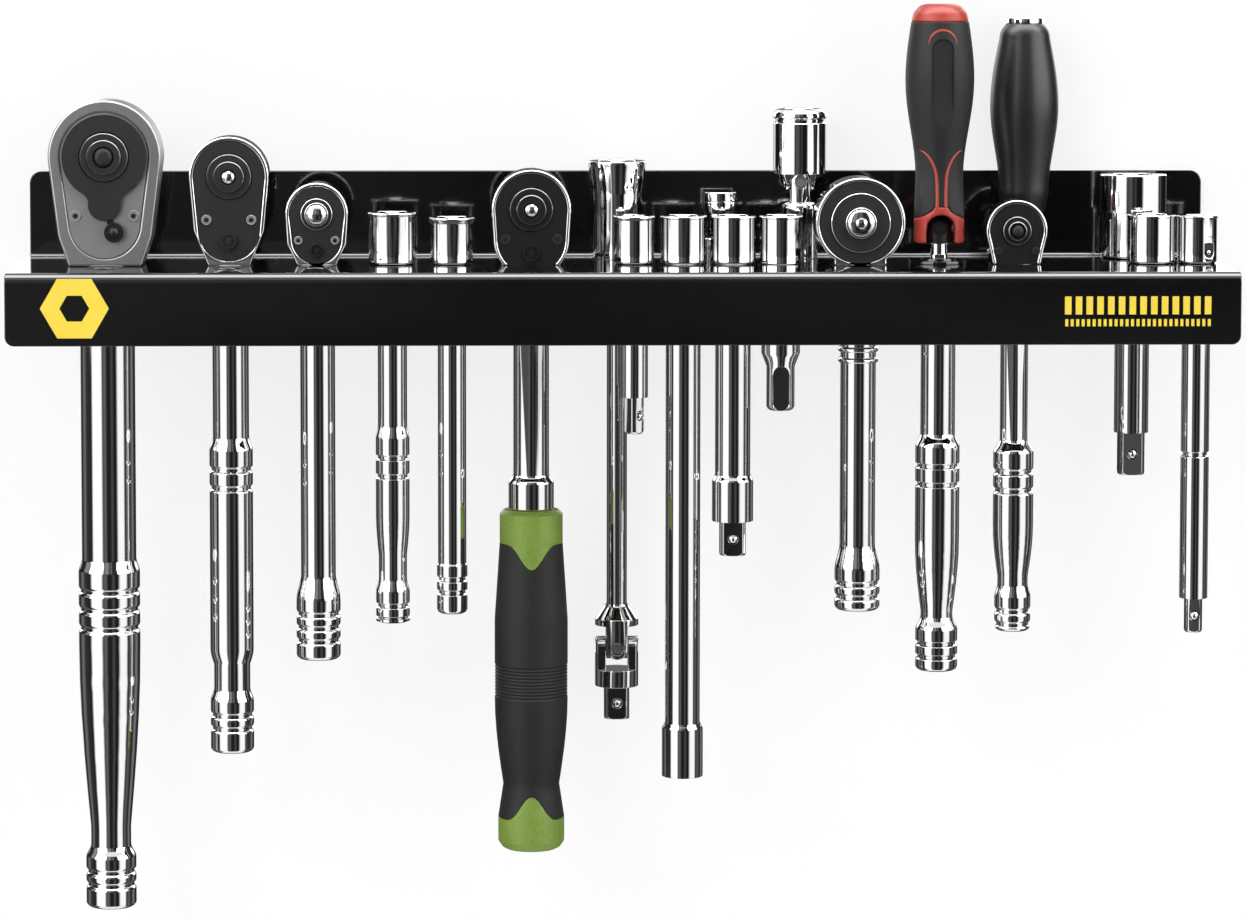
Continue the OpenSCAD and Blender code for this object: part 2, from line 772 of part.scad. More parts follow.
// Length of the shaft
midget_shaft_l = 66; // [61:0.5:71]
// Diameter of the grip
midget_grip_d = 15; // [14.2:0.1:15.6]
// Length of the straight part of the grip
midget_grip_l = 27.5; // [23:0.5:32]
// Length of the tapered part of the grip
midget_taper_l = 19; // [15:0.5:23]
// Diameter of the waist
midget_waist_d = 11.3; // [10.4:0.1:12.2]
// Length of the waist
midget_waist_l = 3; // [2:0.5:6]
// Diameter of the pommel
midget_pommel_d = 13.5; // [12.6:0.1:14.4]
// Length of the pommel
midget_pommel_l = 12.5; // [11:0.5:16]

/* [Hidden] */
$fn = 64;

// Overshoot of a cutting shape past the face that it cuts
cut = 1;
// Steps in which a curved taper is turned
taper_steps = 5;
// Steps in each half of a smooth belly
belly_steps = 8;
// Length over which a turned handle changes from one diameter to the next
flare_l = 5;
// How far a handle runs up into the head that it carries
handle_join = 2;
// Distance from the shoulder of a grip to its first groove, and from groove to groove
groove_pitch = 7;
// Distance between the grooves of a pommel
pommel_pitch = 5;
// How far inside a round the sides or fillets that touch it end, so that they cross it cleanly
touch_in = 0.02;
// Half the number of steps across a bell-shaped tongue
bell_steps = 7;
// Steel left at each end of a knuckle pin or a spider's pins
pin_short = 0.3;

shelf_z = -screw_rise;

// Places of the front row, worked out from the left end
large_at = left_room + large_head_r;
medium_at = large_at + large_head_r + gap_large + medium_head_r;
small_at = medium_at + medium_head_r + gap_medium + small_head_r;
shaped_at = small_at + small_head_r + gap_small + shaped_rim_d / 2;
plain_at = shaped_at + shaped_rim_d / 2 + gap_shaped + plain_rim_d / 2;
grip_at = plain_at + plain_rim_d / 2 + gap_plain + grip_head_r;
short_at = grip_at + grip_head_r + gap_grip + short_rim_d / 2;
long_at = short_at + short_rim_d / 2 + gap_short + long_rim_d / 2;
bar_at = long_at + long_rim_d / 2 + gap_long + bar_rim_d / 2;
stub_at = bar_at + bar_rim_d / 2 + gap_bar + stub_rim_d / 2;
round_at = stub_at + stub_rim_d / 2 + gap_stub + round_head_r;
red_at = round_at + round_head_r + gap_round + red_belly_d / 2;
midget_at = red_at + red_belly_d / 2 + gap_red + midget_head_r;
socket_at = midget_at + midget_head_r + gap_midget + socket_d / 2;
slim_at = socket_at + socket_d / 2 + gap_socket + slim_rim_d / 2;
rack_w = slim_at + slim_rim_d / 2 + right_room;

function from_middle(at) = at - rack_w / 2;
large_x = from_middle(large_at);
medium_x = from_middle(medium_at);
small_x = from_middle(small_at);
shaped_x = from_middle(shaped_at);
plain_x = from_middle(plain_at);
grip_x = from_middle(grip_at);
short_x = from_middle(short_at);
long_x = from_middle(long_at);
bar_x = from_middle(bar_at);
stub_x = from_middle(stub_at);
round_x = from_middle(round_at);
red_x = from_middle(red_at);
midget_x = from_middle(midget_at);
socket_x = from_middle(socket_at);
slim_x = from_middle(slim_at);

// A drive square across its turned corners
function across(square) = square * sqrt(2) - 2 * corner_cut;
function hole(d) = d + 2 * pass_gap;

// Each round hole of the shelf: place along the rack, distance from the wall, diameter
shelf_holes = [
    [large_x, spare_row, spare_d],
    [medium_x, spare_row, spare_d],
    [small_x, spare_row, spare_d],
    [large_x, front_row, hole(large_grip_d)],
    [medium_x, front_row, hole(max(medium_grip_d, medium_pommel_d))],
    [small_x, front_row, hole(small_pommel_d)],
    [shaped_x, front_row, hole(max(shaped_grip_d, shaped_pommel_d))],
    [plain_x, front_row, hole(plain_end_d)],
    [grip_x, front_row, hole(grip_shaft_d)],
    [grip_x, front_row - keyhole_run, hole(sleeve_belly_d)],
    [-swivel_left, rear_row, hole(swivel_d)],
    [short_x, front_row, hole(short_shaft_d)],
    [long_x, front_row, hole(long_end_d)],
    [lock_right, rear_row, hole(lock_stem_d)],
    [bar_x, front_row, hole(bar_collar_d)],
    [joint_right, rear_row, hole(across(quarter_sq))],
    [stub_x, front_row, hole(stub_body_d)],
    [round_x, front_row, hole(round_pommel_d)],
    [red_x, front_row, hole(stand_grip_d)],
    [black_right, rear_row, hole(shank_d)],
    [midget_x, front_row, hole(midget_grip_d)],
    [adapter_right, rear_row, hole(adapter_shaft_d)],
    [socket_x, front_row, hole(socket_stem_d)],
    [slim_x, front_row, hole(slim_shaft_d)]
];

// A tool's own frame: its axis on Z, its seat on the shelf at zero
module at_front(x) translate([x, -front_row, shelf_z]) children();
module at_rear(x) translate([x, -rear_row, shelf_z]) children();

// A flat outline in X and Z, thickened backwards from a front face
module slab(front, t) translate([0, front + t, 0]) rotate([90, 0, 0]) linear_extrude(t) children();

// A turned shape, and one turned about a line along Y
module turned(points) rotate_extrude() polygon(points);
module turned_along_y(points) rotate([-90, 0, 0]) turned(points);

function groove(r, z) = [
    [r, z + groove_w / 2],
    [r - groove_depth, z + groove_w / 4],
    [r - groove_depth, z - groove_w / 4],
    [r, z - groove_w / 2]
];
function grooves(r, top, pitch, count) = [for (i = [1 : count]) each groove(r, top - i * pitch)];
function curved_taper(top_r, low_r, top, l) = [
    for (i = [0 : taper_steps])
    [low_r + (top_r - low_r) * cos(90 * i / taper_steps), top - l * i / taper_steps]
];
// A smooth change from one radius to another, going down
function flare(top_r, low_r, top, l) = [
    for (i = [0 : taper_steps])
    [(top_r + low_r) / 2 + (top_r - low_r) / 2 * cos(180 * i / taper_steps), top - l * i / taper_steps]
];
// A smooth belly between a neck and a top, going up
function belly(low_r, low_z, mid_r, mid_z, top_r, top_z) = concat(
    [for (i = [0 : belly_steps - 1]) [
        (mid_r + low_r) / 2 - (mid_r - low_r) / 2 * cos(180 * i / belly_steps),
        low_z + (mid_z - low_z) * i / belly_steps
    ]],
    [for (i = [0 : belly_steps]) [
        top_r + (mid_r - top_r) * cos(90 * i / belly_steps),
        mid_z + (top_z - mid_z) * i / belly_steps
    ]]
);
// A rounded edge on the way up to a flat top
function rounded_top(r, edge, z) = [
    for (i = [0 : taper_steps])
    [r - edge + edge * cos(90 * i / taper_steps), z - edge + edge * sin(90 * i / taper_steps)]
];
function rounded_end(r, z) = [[r, z + end_edge], [r - end_edge / 3, z + end_edge / 3], [r - end_edge, z], [0, z]];

// Outline of a handle with a grip, a waist and a pommel, from the shelf downwards
function handle_points(shaft_d, shaft_l, grip_d, grip_l, taper_l, waist_d, waist_l, pommel_d, pommel_l, rings) =
    let (
        grip_z = -shaft_l - flare_l,
        taper_z = grip_z - grip_l,
        waist_z = taper_z - taper_l,
        pommel_z = waist_z - waist_l - flare_l
    )
    concat(
        [[0, handle_join], [shaft_d / 2, handle_join]],
        flare(shaft_d / 2, grip_d / 2, -shaft_l, flare_l),
        grooves(grip_d / 2, grip_z, groove_pitch, rings),
        curved_taper(grip_d / 2, waist_d / 2, taper_z, taper_l),
        flare(waist_d / 2, pommel_d / 2, waist_z - waist_l, flare_l),
        grooves(pommel_d / 2, pommel_z, pommel_pitch, 2),
        rounded_end(pommel_d / 2, pommel_z - pommel_l)
    );

// Outline of a straight shaft that ends in a wider sleeve or pommel
function plain_points(shaft_d, shaft_l, end_d, end_l, change_l, rings) =
    let (end_z = -shaft_l - change_l)
    concat(
        [[0, handle_join], [shaft_d / 2, handle_join]],
        flare(shaft_d / 2, end_d / 2, -shaft_l, change_l),
        grooves(end_d / 2, end_z, pommel_pitch, rings),
        rounded_end(end_d / 2, end_z - end_l)
    );

// Outline of a socket that stands on the shelf, with its flared rim
function socket_points(d, rim_d, h) = [
    [0, 0],
    [d / 2, 0],
    [d / 2, h - rim_h - (rim_d - d)],
    [rim_d / 2, h - rim_h],
    [rim_d / 2, h - rim_edge],
    [rim_d / 2 - rim_edge, h],
    [0, h]
];

// A square hole from the top of a bar downwards, with its bevelled mouth
module mouth(square, h) {
    w = square + square_play;
    translate([-w / 2, -w / 2, h - mouth_depth]) cube([w, w, mouth_depth + cut]);
    translate([0, 0, h - square_bevel])
    cylinder(h = square_bevel + cut, r1 = w / 2, r2 = w / 2 + square_bevel + cut);
}

// A drive square that hangs from the height given, with a pit in its front for the ball
module drive_square(square, top, l) {
    r = across(square) / 2;
    translate([0, 0, top]) difference() {
        intersection() {
            translate([-square / 2, -square / 2, -l]) cube([square, square, l + handle_join]);
            turned([
                [0, handle_join],
                [r, handle_join],
                [r, -l + square_bevel],
                [r - square_bevel, -l],
                [0, -l]
            ]);
        }
        translate([0, ball_proud + ball_d / 2 - square / 2 + ball_d / 2 - 2 * ball_proud, -l / 2])
        rotate([90, 0, 0]) cylinder(h = square, d = ball_d + 2 * seat_gap);
    }
}

// The steel ball in that pit
module detent_ball(square, top, l)
translate([0, ball_d / 2 - ball_proud - square / 2, top - l / 2]) sphere(d = ball_d);

// A bar with a socket on the shelf and a drive square at its foot
module bar_with_square(head_points, foot_points, square, mouth_square, head_h, foot_z, square_l) {
    difference() {
        union() {
            turned(head_points);
            turned(foot_points);
            drive_square(square, foot_z, square_l);
        }
        mouth(mouth_square, head_h);
    }
    detent_ball(square, foot_z, square_l);
}

// The point where a line from p touches a circle, on the right
function touch_point(p, centre, r) =
    let (
        away = p - centre,
        turn = atan2(away.y, away.x) + acos(r / norm(away))
    )
    centre + r * [cos(turn), sin(turn)];

// A ratchet head, or a plate of that shape: a round on a tapering foot
module head_plate(front, t, r, hub_z, shoulder_w, shoulder_z, base_w, inset) union() {
    side = [shoulder_w / 2 - inset, shoulder_z];
    foot = [base_w / 2 - inset, 0];
    touch = touch_point(side, [0, hub_z], r - inset - touch_in);
    slab(front, t) translate([0, hub_z]) circle(r - inset);
    slab(front, t) polygon([
        [-foot.x, foot.y],
        foot,
        side,
        touch,
        [-touch.x, touch.y],
        [-side.x, side.y]
    ]);
}

// An egg-shaped plate: an upper round, a lower round and straight sides between them
module egg_plate(front, t, top_r, top_z, low_r, low_z) union() {
    lean = asin((top_r - low_r) / (top_z - low_z));
    side = [cos(lean), -sin(lean)];
    up = [0, top_z] + (top_r - touch_in) * side;
    low = [0, low_z] + (low_r - touch_in) * side;
    slab(front, t) translate([0, top_z]) circle(top_r);
    slab(front, t) translate([0, low_z]) circle(low_r);
    slab(front, t) polygon([up, low, [-low.x, low.y], [-up.x, up.y]]);
}

// Outline of the round ratchet's head: a full round on a low block
module round_outline() intersection() {
    union() {
        translate([0, round_hub_z]) circle(round_head_r);
        translate([-round_base_w / 2, 0]) square([round_base_w, round_base_h]);
    }
    translate([-round_head_r, 0]) square([2 * round_head_r, round_hub_z + round_head_r]);
}

// The space that a drive needs in a head: gear pocket and neck bore
module drive_space(hub_z, t, pocket_r, neck_r) translate([0, 0, hub_z]) turned_along_y([
    [0, -t / 2 - cut],
    [pocket_r, -t / 2 - cut],
    [pocket_r, t / 2 - rear_wall],
    [neck_r + turn_gap, t / 2 - rear_wall],
    [neck_r + turn_gap, t / 2 + cut],
    [0, t / 2 + cut]
]);

// A ratchet's drive: disc, boss, gear wheel and neck in one, with its drive square to the rear
module drive(hub_z, t, pocket_r, disc_r, boss_r, neck_r, square, square_l, button_r, lift = 0) {
    front = -t / 2 - disc_proud - lift;
    translate([0, 0, hub_z]) {
        difference() {
            union() {
                turned_along_y([
                    [0, front - boss_proud],
                    [boss_r, front - boss_proud],
                    [boss_r, front],
                    [disc_r, front],
                    [disc_r, -t / 2 + cover_t + face_gap],
                    [pocket_r - turn_gap, -t / 2 + cover_t + face_gap],
                    [pocket_r - turn_gap, t / 2 - rear_wall - face_gap],
                    [neck_r, t / 2 - rear_wall - face_gap],
                    [neck_r, t / 2 + face_gap],
                    [0, t / 2 + face_gap]
                ]);
                rotate([90, 0, 0]) drive_square(square, -t / 2 - face_gap, square_l);
            }
            if (button_r > 0)
                translate([0, front - boss_proud - cut, 0])
                rotate([-90, 0, 0])
                cylinder(h = button_l - button_proud + button_travel + face_gap + cut, r = button_r + turn_gap);
        }
        rotate([90, 0, 0]) detent_ball(square, -t / 2 - face_gap, square_l);
    }
}

// A release button in the boss of its drive, with a domed front
module button(hub_z, t, r, lift = 0)
translate([0, -t / 2 - lift - disc_proud - boss_proud - button_proud, hub_z]) turned_along_y([
    [0, 0],
    [r / 2, 0],
    [r, button_proud / 2],
    [r, button_l],
    [0, button_l]
]);

// A cover's two screws, or the holes that they need
module screws(x, z, r, t) for (side = [-1, 1])
translate([side * x, -t / 2, z]) difference() {
    turned_along_y([
        [0, -screw_head_h],
        [r, -screw_head_h],
        [r, 0],
        [screw_shank_d / 2, 0],
        [screw_shank_d / 2, screw_l],
        [0, screw_l]
    ]);
    translate([0, -screw_head_h - cut, 0]) rotate([-90, 0, 0])
    cylinder(h = cut + screw_head_h, d = screw_socket_w, $fn = 6);
}
module screw_holes(x, z, t) for (side = [-1, 1])
translate([side * x, -t / 2 - cut, z]) rotate([-90, 0, 0])
cylinder(h = cut + screw_l + seat_gap, d = screw_shank_d + 2 * seat_gap);

// A selector: a rimmed dial with a pointer below and a pin behind, or the hole for that pin
module selector(z, r, t) translate([0, -t / 2, z]) {
    turned_along_y([
        [0, -face_gap - dial_t],
        [dial_pin_d / 2, -face_gap - dial_t],
        [dial_pin_d / 2, -face_gap - dial_t / 2],
        [r - dial_rim, -face_gap - dial_t / 2],
        [r - dial_rim, -face_gap - dial_t],
        [r, -face_gap - dial_t],
        [r, -face_gap],
        [dial_pin_d / 2, -face_gap],
        [dial_pin_d / 2, dial_pin_l],
        [0, dial_pin_l]
    ]);
    translate([-dial_tab_w / 2, -face_gap - dial_t / 2, -r - dial_tab_l])
    cube([dial_tab_w, dial_t / 2, dial_tab_l + dial_rim]);
}
module selector_hole(z, t) translate([0, -t / 2 - cut, z]) rotate([-90, 0, 0])
cylinder(h = cut + dial_pin_l + face_gap, d = dial_pin_d + 2 * turn_gap);

// A cover plate with its hole for the drive's disc
module cover(t, hub_z, disc_r) difference() {
    children();
    translate([0, -t / 2 - cut, hub_z]) rotate([-90, 0, 0]) cylinder(h = cover_t + 2 * cut, r = disc_r + turn_gap);
}

// The steel of the rack, as one bent strip seen from its end
module strip_profile() {
    outer = bend_r + sheet_t;
    front = -shelf_d;
    translate([-sheet_t, bend_r]) square([sheet_t, back_h - bend_r]);
    translate([front + outer, -sheet_t]) square([shelf_d - 2 * outer, sheet_t]);
    translate([front, -lip_h]) square([sheet_t, lip_h - outer]);
    translate([-outer, bend_r]) intersection() {
        difference() {
            circle(outer);
            circle(bend_r);
        }
        translate([0, -outer]) square(outer);
    }
    translate([front + outer, -outer]) intersection() {
        difference() {
            circle(outer);
            circle(bend_r);
        }
        translate([-outer, 0]) square(outer);
    }
}

// The rack from the front: full width below, the back plate a little narrower above
module rack_outline() {
    w = rack_w;
    back_w = w - 2 * back_inset;
    translate([-w / 2 + lip_corner_r, -lip_h]) square([w - 2 * lip_corner_r, lip_h]);
    translate([-w / 2, -lip_h + lip_corner_r]) square([w, lip_h - lip_corner_r]);
    translate([-back_w / 2, -sheet_t]) square([back_w, back_h - back_corner_r + sheet_t]);
    translate([-back_w / 2 + back_corner_r, 0]) square([back_w - 2 * back_corner_r, back_h]);
    for (side = [-1, 1]) {
        translate([side * (w / 2 - lip_corner_r), -lip_h + lip_corner_r]) circle(lip_corner_r);
        translate([side * (back_w / 2 - back_corner_r), back_h - back_corner_r]) circle(back_corner_r);
    }
}

module rack_shelf() color("#151515") translate([0, 0, shelf_z]) difference() {
    intersection() {
        translate([-rack_w / 2, 0, 0]) rotate([90, 0, 90]) linear_extrude(rack_w) strip_profile();
        slab(-shelf_d - cut, shelf_d + 2 * cut) rack_outline();
    }
    for (h = shelf_holes)
        translate([h.x, -h.y, -sheet_t - cut]) cylinder(h = sheet_t + 2 * cut, d = h.z);
    translate([grip_x - hole(grip_shaft_d) / 2, -front_row, -sheet_t - cut])
    cube([hole(grip_shaft_d), keyhole_run, sheet_t + 2 * cut]);
    for (side = [-1, 1])
        translate([side * screw_spacing / 2, -sheet_t - cut, screw_rise]) rotate([-90, 0, 0])
        cylinder(h = sheet_t + 2 * cut, d = screw_hole_d);
}

// Large ratchet
large_pocket_r = large_cover_r - rim_w;
lever_slot = lever_t + 2 * face_gap;
lever_boss_r = dial_pin_d / 2 + lever_t;
module large_head()
head_plate(
    -large_t / 2, large_t, large_head_r, large_hub_z,
    large_shoulder_w, large_shoulder_z, large_base_w, 0
);
module large_cover_plate(front, t, gap)
egg_plate(front, t, large_cover_r + gap, large_hub_z, large_low_r + gap, large_low_z);
module lever_pin_hole() selector_hole(large_lobe_z, large_t);

module large_ratchet_handle() color("#c4c6c8") at_front(large_x) difference() {
    union() {
        large_head();
        turned(handle_points(
            large_shaft_d, large_shaft_l, large_grip_d, large_grip_l, large_taper_l,
            large_waist_d, large_waist_l, large_pommel_d, large_pommel_l, 3
        ));
    }
    large_cover_plate(-large_t / 2 - cut, cover_t + cut, seat_gap);
    drive_space(large_hub_z, large_t, large_pocket_r, large_neck_r);
    screw_holes(large_screw_x, large_screw_z, large_t);
    lever_pin_hole();
}

module large_ratchet_cover() color("#a9abad") at_front(large_x) difference() {
    cover(large_t, large_hub_z, large_disc_r) large_cover_plate(-large_t / 2, cover_t, 0);
    screw_holes(large_screw_x, large_screw_z, large_t);
    lever_pin_hole();
}

// Shape of the dark face plate: a round and a lobe, joined by hollow fillets
module face_plate(front, t) union() {
    reach = large_face_r + large_fillet_r - touch_in;
    lobe_reach = large_lobe_r + large_fillet_r - touch_in;
    drop = large_hub_z - large_lobe_z;
    down = (reach ^ 2 - lobe_reach ^ 2 + drop ^ 2) / (2 * drop);
    blend = [sqrt(reach ^ 2 - down ^ 2), large_hub_z - down];
    slab(front, t) translate([0, large_hub_z]) circle(large_face_r);
    slab(front, t) translate([0, large_lobe_z]) circle(large_lobe_r);
    slab(front, t) difference() {
        polygon([[0, large_hub_z], blend, [0, large_lobe_z], [-blend.x, blend.y]]);
        for (side = [-1, 1])
            translate([side * blend.x, blend.y]) circle(large_fillet_r);
    }
}

// The face plate, with room behind its lobe for the lever's arm
module large_ratchet_face() color("#38383a") at_front(large_x) difference() {
    w = 2 * (large_lobe_r + cut);
    face_plate(-large_t / 2 - large_face_t, large_face_t);
    translate([0, -large_t / 2 - large_face_t - cut, large_hub_z]) rotate([-90, 0, 0])
    cylinder(h = large_face_t + 2 * cut, r = large_disc_r + turn_gap);
    translate([-w / 2, -large_t / 2 - lever_slot, large_lobe_z - w / 2])
    cube([w, lever_slot + cut, w / 2 + lever_boss_r + face_gap]);
}

module large_ratchet_drive() color("#3a3a3c") at_front(large_x)
drive(
    large_hub_z, large_t, large_pocket_r, large_disc_r, large_boss_r, large_neck_r,
    half_sq, large_square_l, large_button_r, large_face_t
);

module large_ratchet_button() color("#4a4a4c") at_front(large_x)
button(large_hub_z, large_t, large_button_r, large_face_t);

// The lever: an arm that comes out from behind the lobe, with a ball on its round end
module large_ratchet_lever() color("#333335") at_front(large_x) {
    arm = [lever_end_x, large_lobe_z - lever_end_z];
    slab(-large_t / 2 - face_gap - lever_t, lever_t) translate([0, large_lobe_z]) {
        circle(lever_boss_r);
        rotate(atan2(arm.x, arm.y)) translate([-lever_w / 2, -norm(arm)]) square([lever_w, norm(arm)]);
    }
    translate([0, -large_t / 2 - face_gap, large_lobe_z]) rotate([-90, 0, 0])
    cylinder(h = face_gap + dial_pin_l, d = dial_pin_d);
    translate([lever_end_x, -large_t / 2 - face_gap, lever_end_z]) rotate([90, 0, 0]) {
        cylinder(h = lever_end_t, r = lever_end_r);
        translate([0, 0, lever_end_t]) sphere(d = lever_ball_d);
    }
}

module large_ratchet_screws() color("#4a4a4c") at_front(large_x)
screws(large_screw_x, large_screw_z, large_screw_r, large_t);

// Medium ratchet
medium_pocket_r = medium_head_r - head_wall;
module medium_head()
head_plate(
    -medium_t / 2, medium_t, medium_head_r, medium_hub_z,
    medium_shoulder_w, medium_shoulder_z, medium_base_w, 0
);
module medium_cover_plate(front, t, gap)
egg_plate(front, t, medium_head_r - rim_w + gap, medium_hub_z, medium_low_r + gap, medium_low_z);

module medium_ratchet_handle() color("#c4c6c8") at_front(medium_x) difference() {
    union() {
        medium_head();
        turned(handle_points(
            medium_shaft_d, medium_shaft_l, medium_grip_d, medium_grip_l, medium_taper_l,
            medium_waist_d, medium_waist_l, medium_pommel_d, medium_pommel_l, 2
        ));
    }
    medium_cover_plate(-medium_t / 2 - cut, cover_t + cut, seat_gap);
    drive_space(medium_hub_z, medium_t, medium_pocket_r, medium_neck_r);
    screw_holes(medium_screw_x, medium_screw_z, medium_t);
    selector_hole(medium_dial_z, medium_t);
}

module medium_ratchet_cover() color("#2f3032") at_front(medium_x) difference() {
    cover(medium_t, medium_hub_z, medium_disc_r) medium_cover_plate(-medium_t / 2, cover_t, 0);
    screw_holes(medium_screw_x, medium_screw_z, medium_t);
    selector_hole(medium_dial_z, medium_t);
}

module medium_ratchet_drive() color("#38383a") at_front(medium_x)
drive(
    medium_hub_z, medium_t, medium_pocket_r, medium_disc_r, medium_boss_r, medium_neck_r,
    three_eighths_sq, medium_square_l, medium_button_r
);

module medium_ratchet_button() color("#c4c6c8") at_front(medium_x) button(medium_hub_z, medium_t, medium_button_r);

module medium_ratchet_selector() color("#333335") at_front(medium_x)
selector(medium_dial_z, medium_dial_r, medium_t);

module medium_ratchet_screws() color("#4a4a4c") at_front(medium_x)
screws(medium_screw_x, medium_screw_z, medium_screw_r, medium_t);

// Small ratchet, whose drive has no release button
small_pocket_r = small_head_r - head_wall;
module small_head()
head_plate(
    -small_t / 2, small_t, small_head_r, small_hub_z,
    small_shoulder_w, small_shoulder_z, small_base_w, 0
);
module small_cover_plate(front, t, gap)
egg_plate(front, t, small_head_r - rim_w + gap, small_hub_z, small_low_r + gap, small_low_z);

module small_ratchet_handle() color("#c4c6c8") at_front(small_x) difference() {
    union() {
        small_head();
        turned(plain_points(small_shaft_d, small_shaft_l, small_pommel_d, small_pommel_l, 2 * flare_l, 3));
    }
    small_cover_plate(-small_t / 2 - cut, cover_t + cut, seat_gap);
    drive_space(small_hub_z, small_t, small_pocket_r, small_neck_r);
    screw_holes(small_screw_x, small_screw_z, small_t);
    selector_hole(small_dial_z, small_t);
}

module small_ratchet_cover() color("#2f3032") at_front(small_x) difference() {
    cover(small_t, small_hub_z, small_disc_r) small_cover_plate(-small_t / 2, cover_t, 0);
    screw_holes(small_screw_x, small_screw_z, small_t);
    selector_hole(small_dial_z, small_t);
}

module small_ratchet_drive() color("#b8babc") at_front(small_x)
drive(
    small_hub_z, small_t, small_pocket_r, small_disc_r, small_boss_r, small_neck_r,
    quarter_sq, small_square_l, 0
);

module small_ratchet_selector() color("#333335") at_front(small_x) selector(small_dial_z, small_dial_r, small_t);

module small_ratchet_screws() color("#4a4a4c") at_front(small_x)
screws(small_screw_x, small_screw_z, small_screw_r, small_t);

// Shaped bar and plain bar: a socket on a bright handle
module shaped_bar() color("#c4c6c8") at_front(shaped_x) difference() {
    union() {
        turned(socket_points(shaped_head_d, shaped_rim_d, shaped_head_h));
        turned(handle_points(
            shaped_shaft_d, shaped_shaft_l, shaped_grip_d, shaped_grip_l, shaped_taper_l,
            shaped_waist_d, shaped_waist_l, shaped_pommel_d, shaped_pommel_l, 2
        ));
    }
    mouth(three_eighths_sq, shaped_head_h);
}

module plain_bar() color("#c4c6c8") at_front(plain_x) difference() {
    union() {
        turned(socket_points(plain_head_d, plain_rim_d, plain_head_h));
        turned(plain_points(plain_shaft_d, plain_shaft_l, plain_end_d, plain_end_l, flare_l / 5, 2));
    }
    mouth(three_eighths_sq, plain_head_h);
}

// Grip ratchet: a tang from the handle runs into a two-part grip
grip_pocket_r = grip_head_r - head_wall;
ferrule_z = -grip_shaft_l - flare_l / 2;
tang_z = ferrule_z - ferrule_l;
sleeve_z = tang_z - collar_l;
cap_z = sleeve_z - sleeve_l;
module grip_plate(front, t, inset) intersection() {
    egg_plate(front, t, grip_head_r - inset, grip_hub_z, grip_low_r - inset, grip_low_z);
    translate([-grip_head_r, front - cut, 0]) cube([2 * grip_head_r, t + 2 * cut, grip_hub_z + grip_head_r]);
}

module grip_ratchet_handle() color("#c4c6c8") at_front(grip_x) difference() {
    union() {
        grip_plate(-grip_t / 2, grip_t, 0);
        turned([
            [0, handle_join],
            [grip_shaft_d / 2, handle_join],
            [grip_shaft_d / 2, -grip_shaft_l],
            [ferrule_d / 2, ferrule_z],
            [ferrule_d / 2, tang_z],
            [tang_d / 2, tang_z],
            [tang_d / 2, tang_z - tang_l],
            [0, tang_z - tang_l]
        ]);
    }
    grip_plate(-grip_t / 2 - cut, cover_t + cut, rim_w - seat_gap);
    drive_space(grip_hub_z, grip_t, grip_pocket_r, medium_neck_r);
    screw_holes(grip_screw_x, grip_screw_z, grip_t);
    selector_hole(grip_dial_z, grip_t);
}

module grip_ratchet_cover() color("#2f3032") at_front(grip_x) difference() {
    cover(grip_t, grip_hub_z, grip_disc_r) grip_plate(-grip_t / 2, cover_t, rim_w);
    screw_holes(grip_screw_x, grip_screw_z, grip_t);
    selector_hole(grip_dial_z, grip_t);
}

module grip_ratchet_drive() color("#38383a") at_front(grip_x)
drive(
    grip_hub_z, grip_t, grip_pocket_r, grip_disc_r, grip_boss_r, medium_neck_r,
    three_eighths_sq, medium_square_l, grip_button_r
);

module grip_ratchet_button() color("#c4c6c8") at_front(grip_x) button(grip_hub_z, grip_t, grip_button_r);

module grip_ratchet_selector() color("#333335") at_front(grip_x) selector(grip_dial_z, grip_dial_r, grip_t);

module grip_ratchet_screws() color("#4a4a4c") at_front(grip_x)
screws(grip_screw_x, grip_screw_z, grip_screw_r, grip_t);

// The outside of the sleeve: collar, belly with ribs, neck, and out again to the cap
belly_top = sleeve_z - sleeve_l * 0.28;
belly_low = sleeve_z - sleeve_l * 0.56;
neck_z = sleeve_z - sleeve_l * 0.88;
function ribs(r, low) = [
    for (i = [0 : rib_count - 1], step = [0 : 1])
    [r - (step == 0 ? 0 : rib_depth), low + (rib_count - i - step / 2) * rib_pitch]
];
function sleeve_outline() = concat(
    [[collar_d / 2, sleeve_z], [sleeve_belly_d / 2, belly_top]],
    ribs(sleeve_belly_d / 2, belly_low),
    curved_taper(sleeve_belly_d / 2, sleeve_neck_d / 2, belly_low, belly_low - neck_z),
    [[cap_d / 2, cap_z]]
);

// A tongue in the front of the grip, shaped like a bell
module tongue(root_z, end_z, w) slab(-sleeve_belly_d, sleeve_belly_d) polygon(concat(
    [[w / 2, root_z - cut * sign(end_z - root_z)], [-w / 2, root_z - cut * sign(end_z - root_z)]],
    [
        for (i = [-bell_steps : bell_steps])
        [w / 2 * i / bell_steps, root_z + (end_z - root_z) * (1 + cos(180 * i / bell_steps)) / 2]
    ]
));
module tongues(w, extra) {
    tongue(sleeve_z, sleeve_z - tongue_l - extra, w);
    tongue(cap_z, cap_z + tongue_l + extra, w);
}

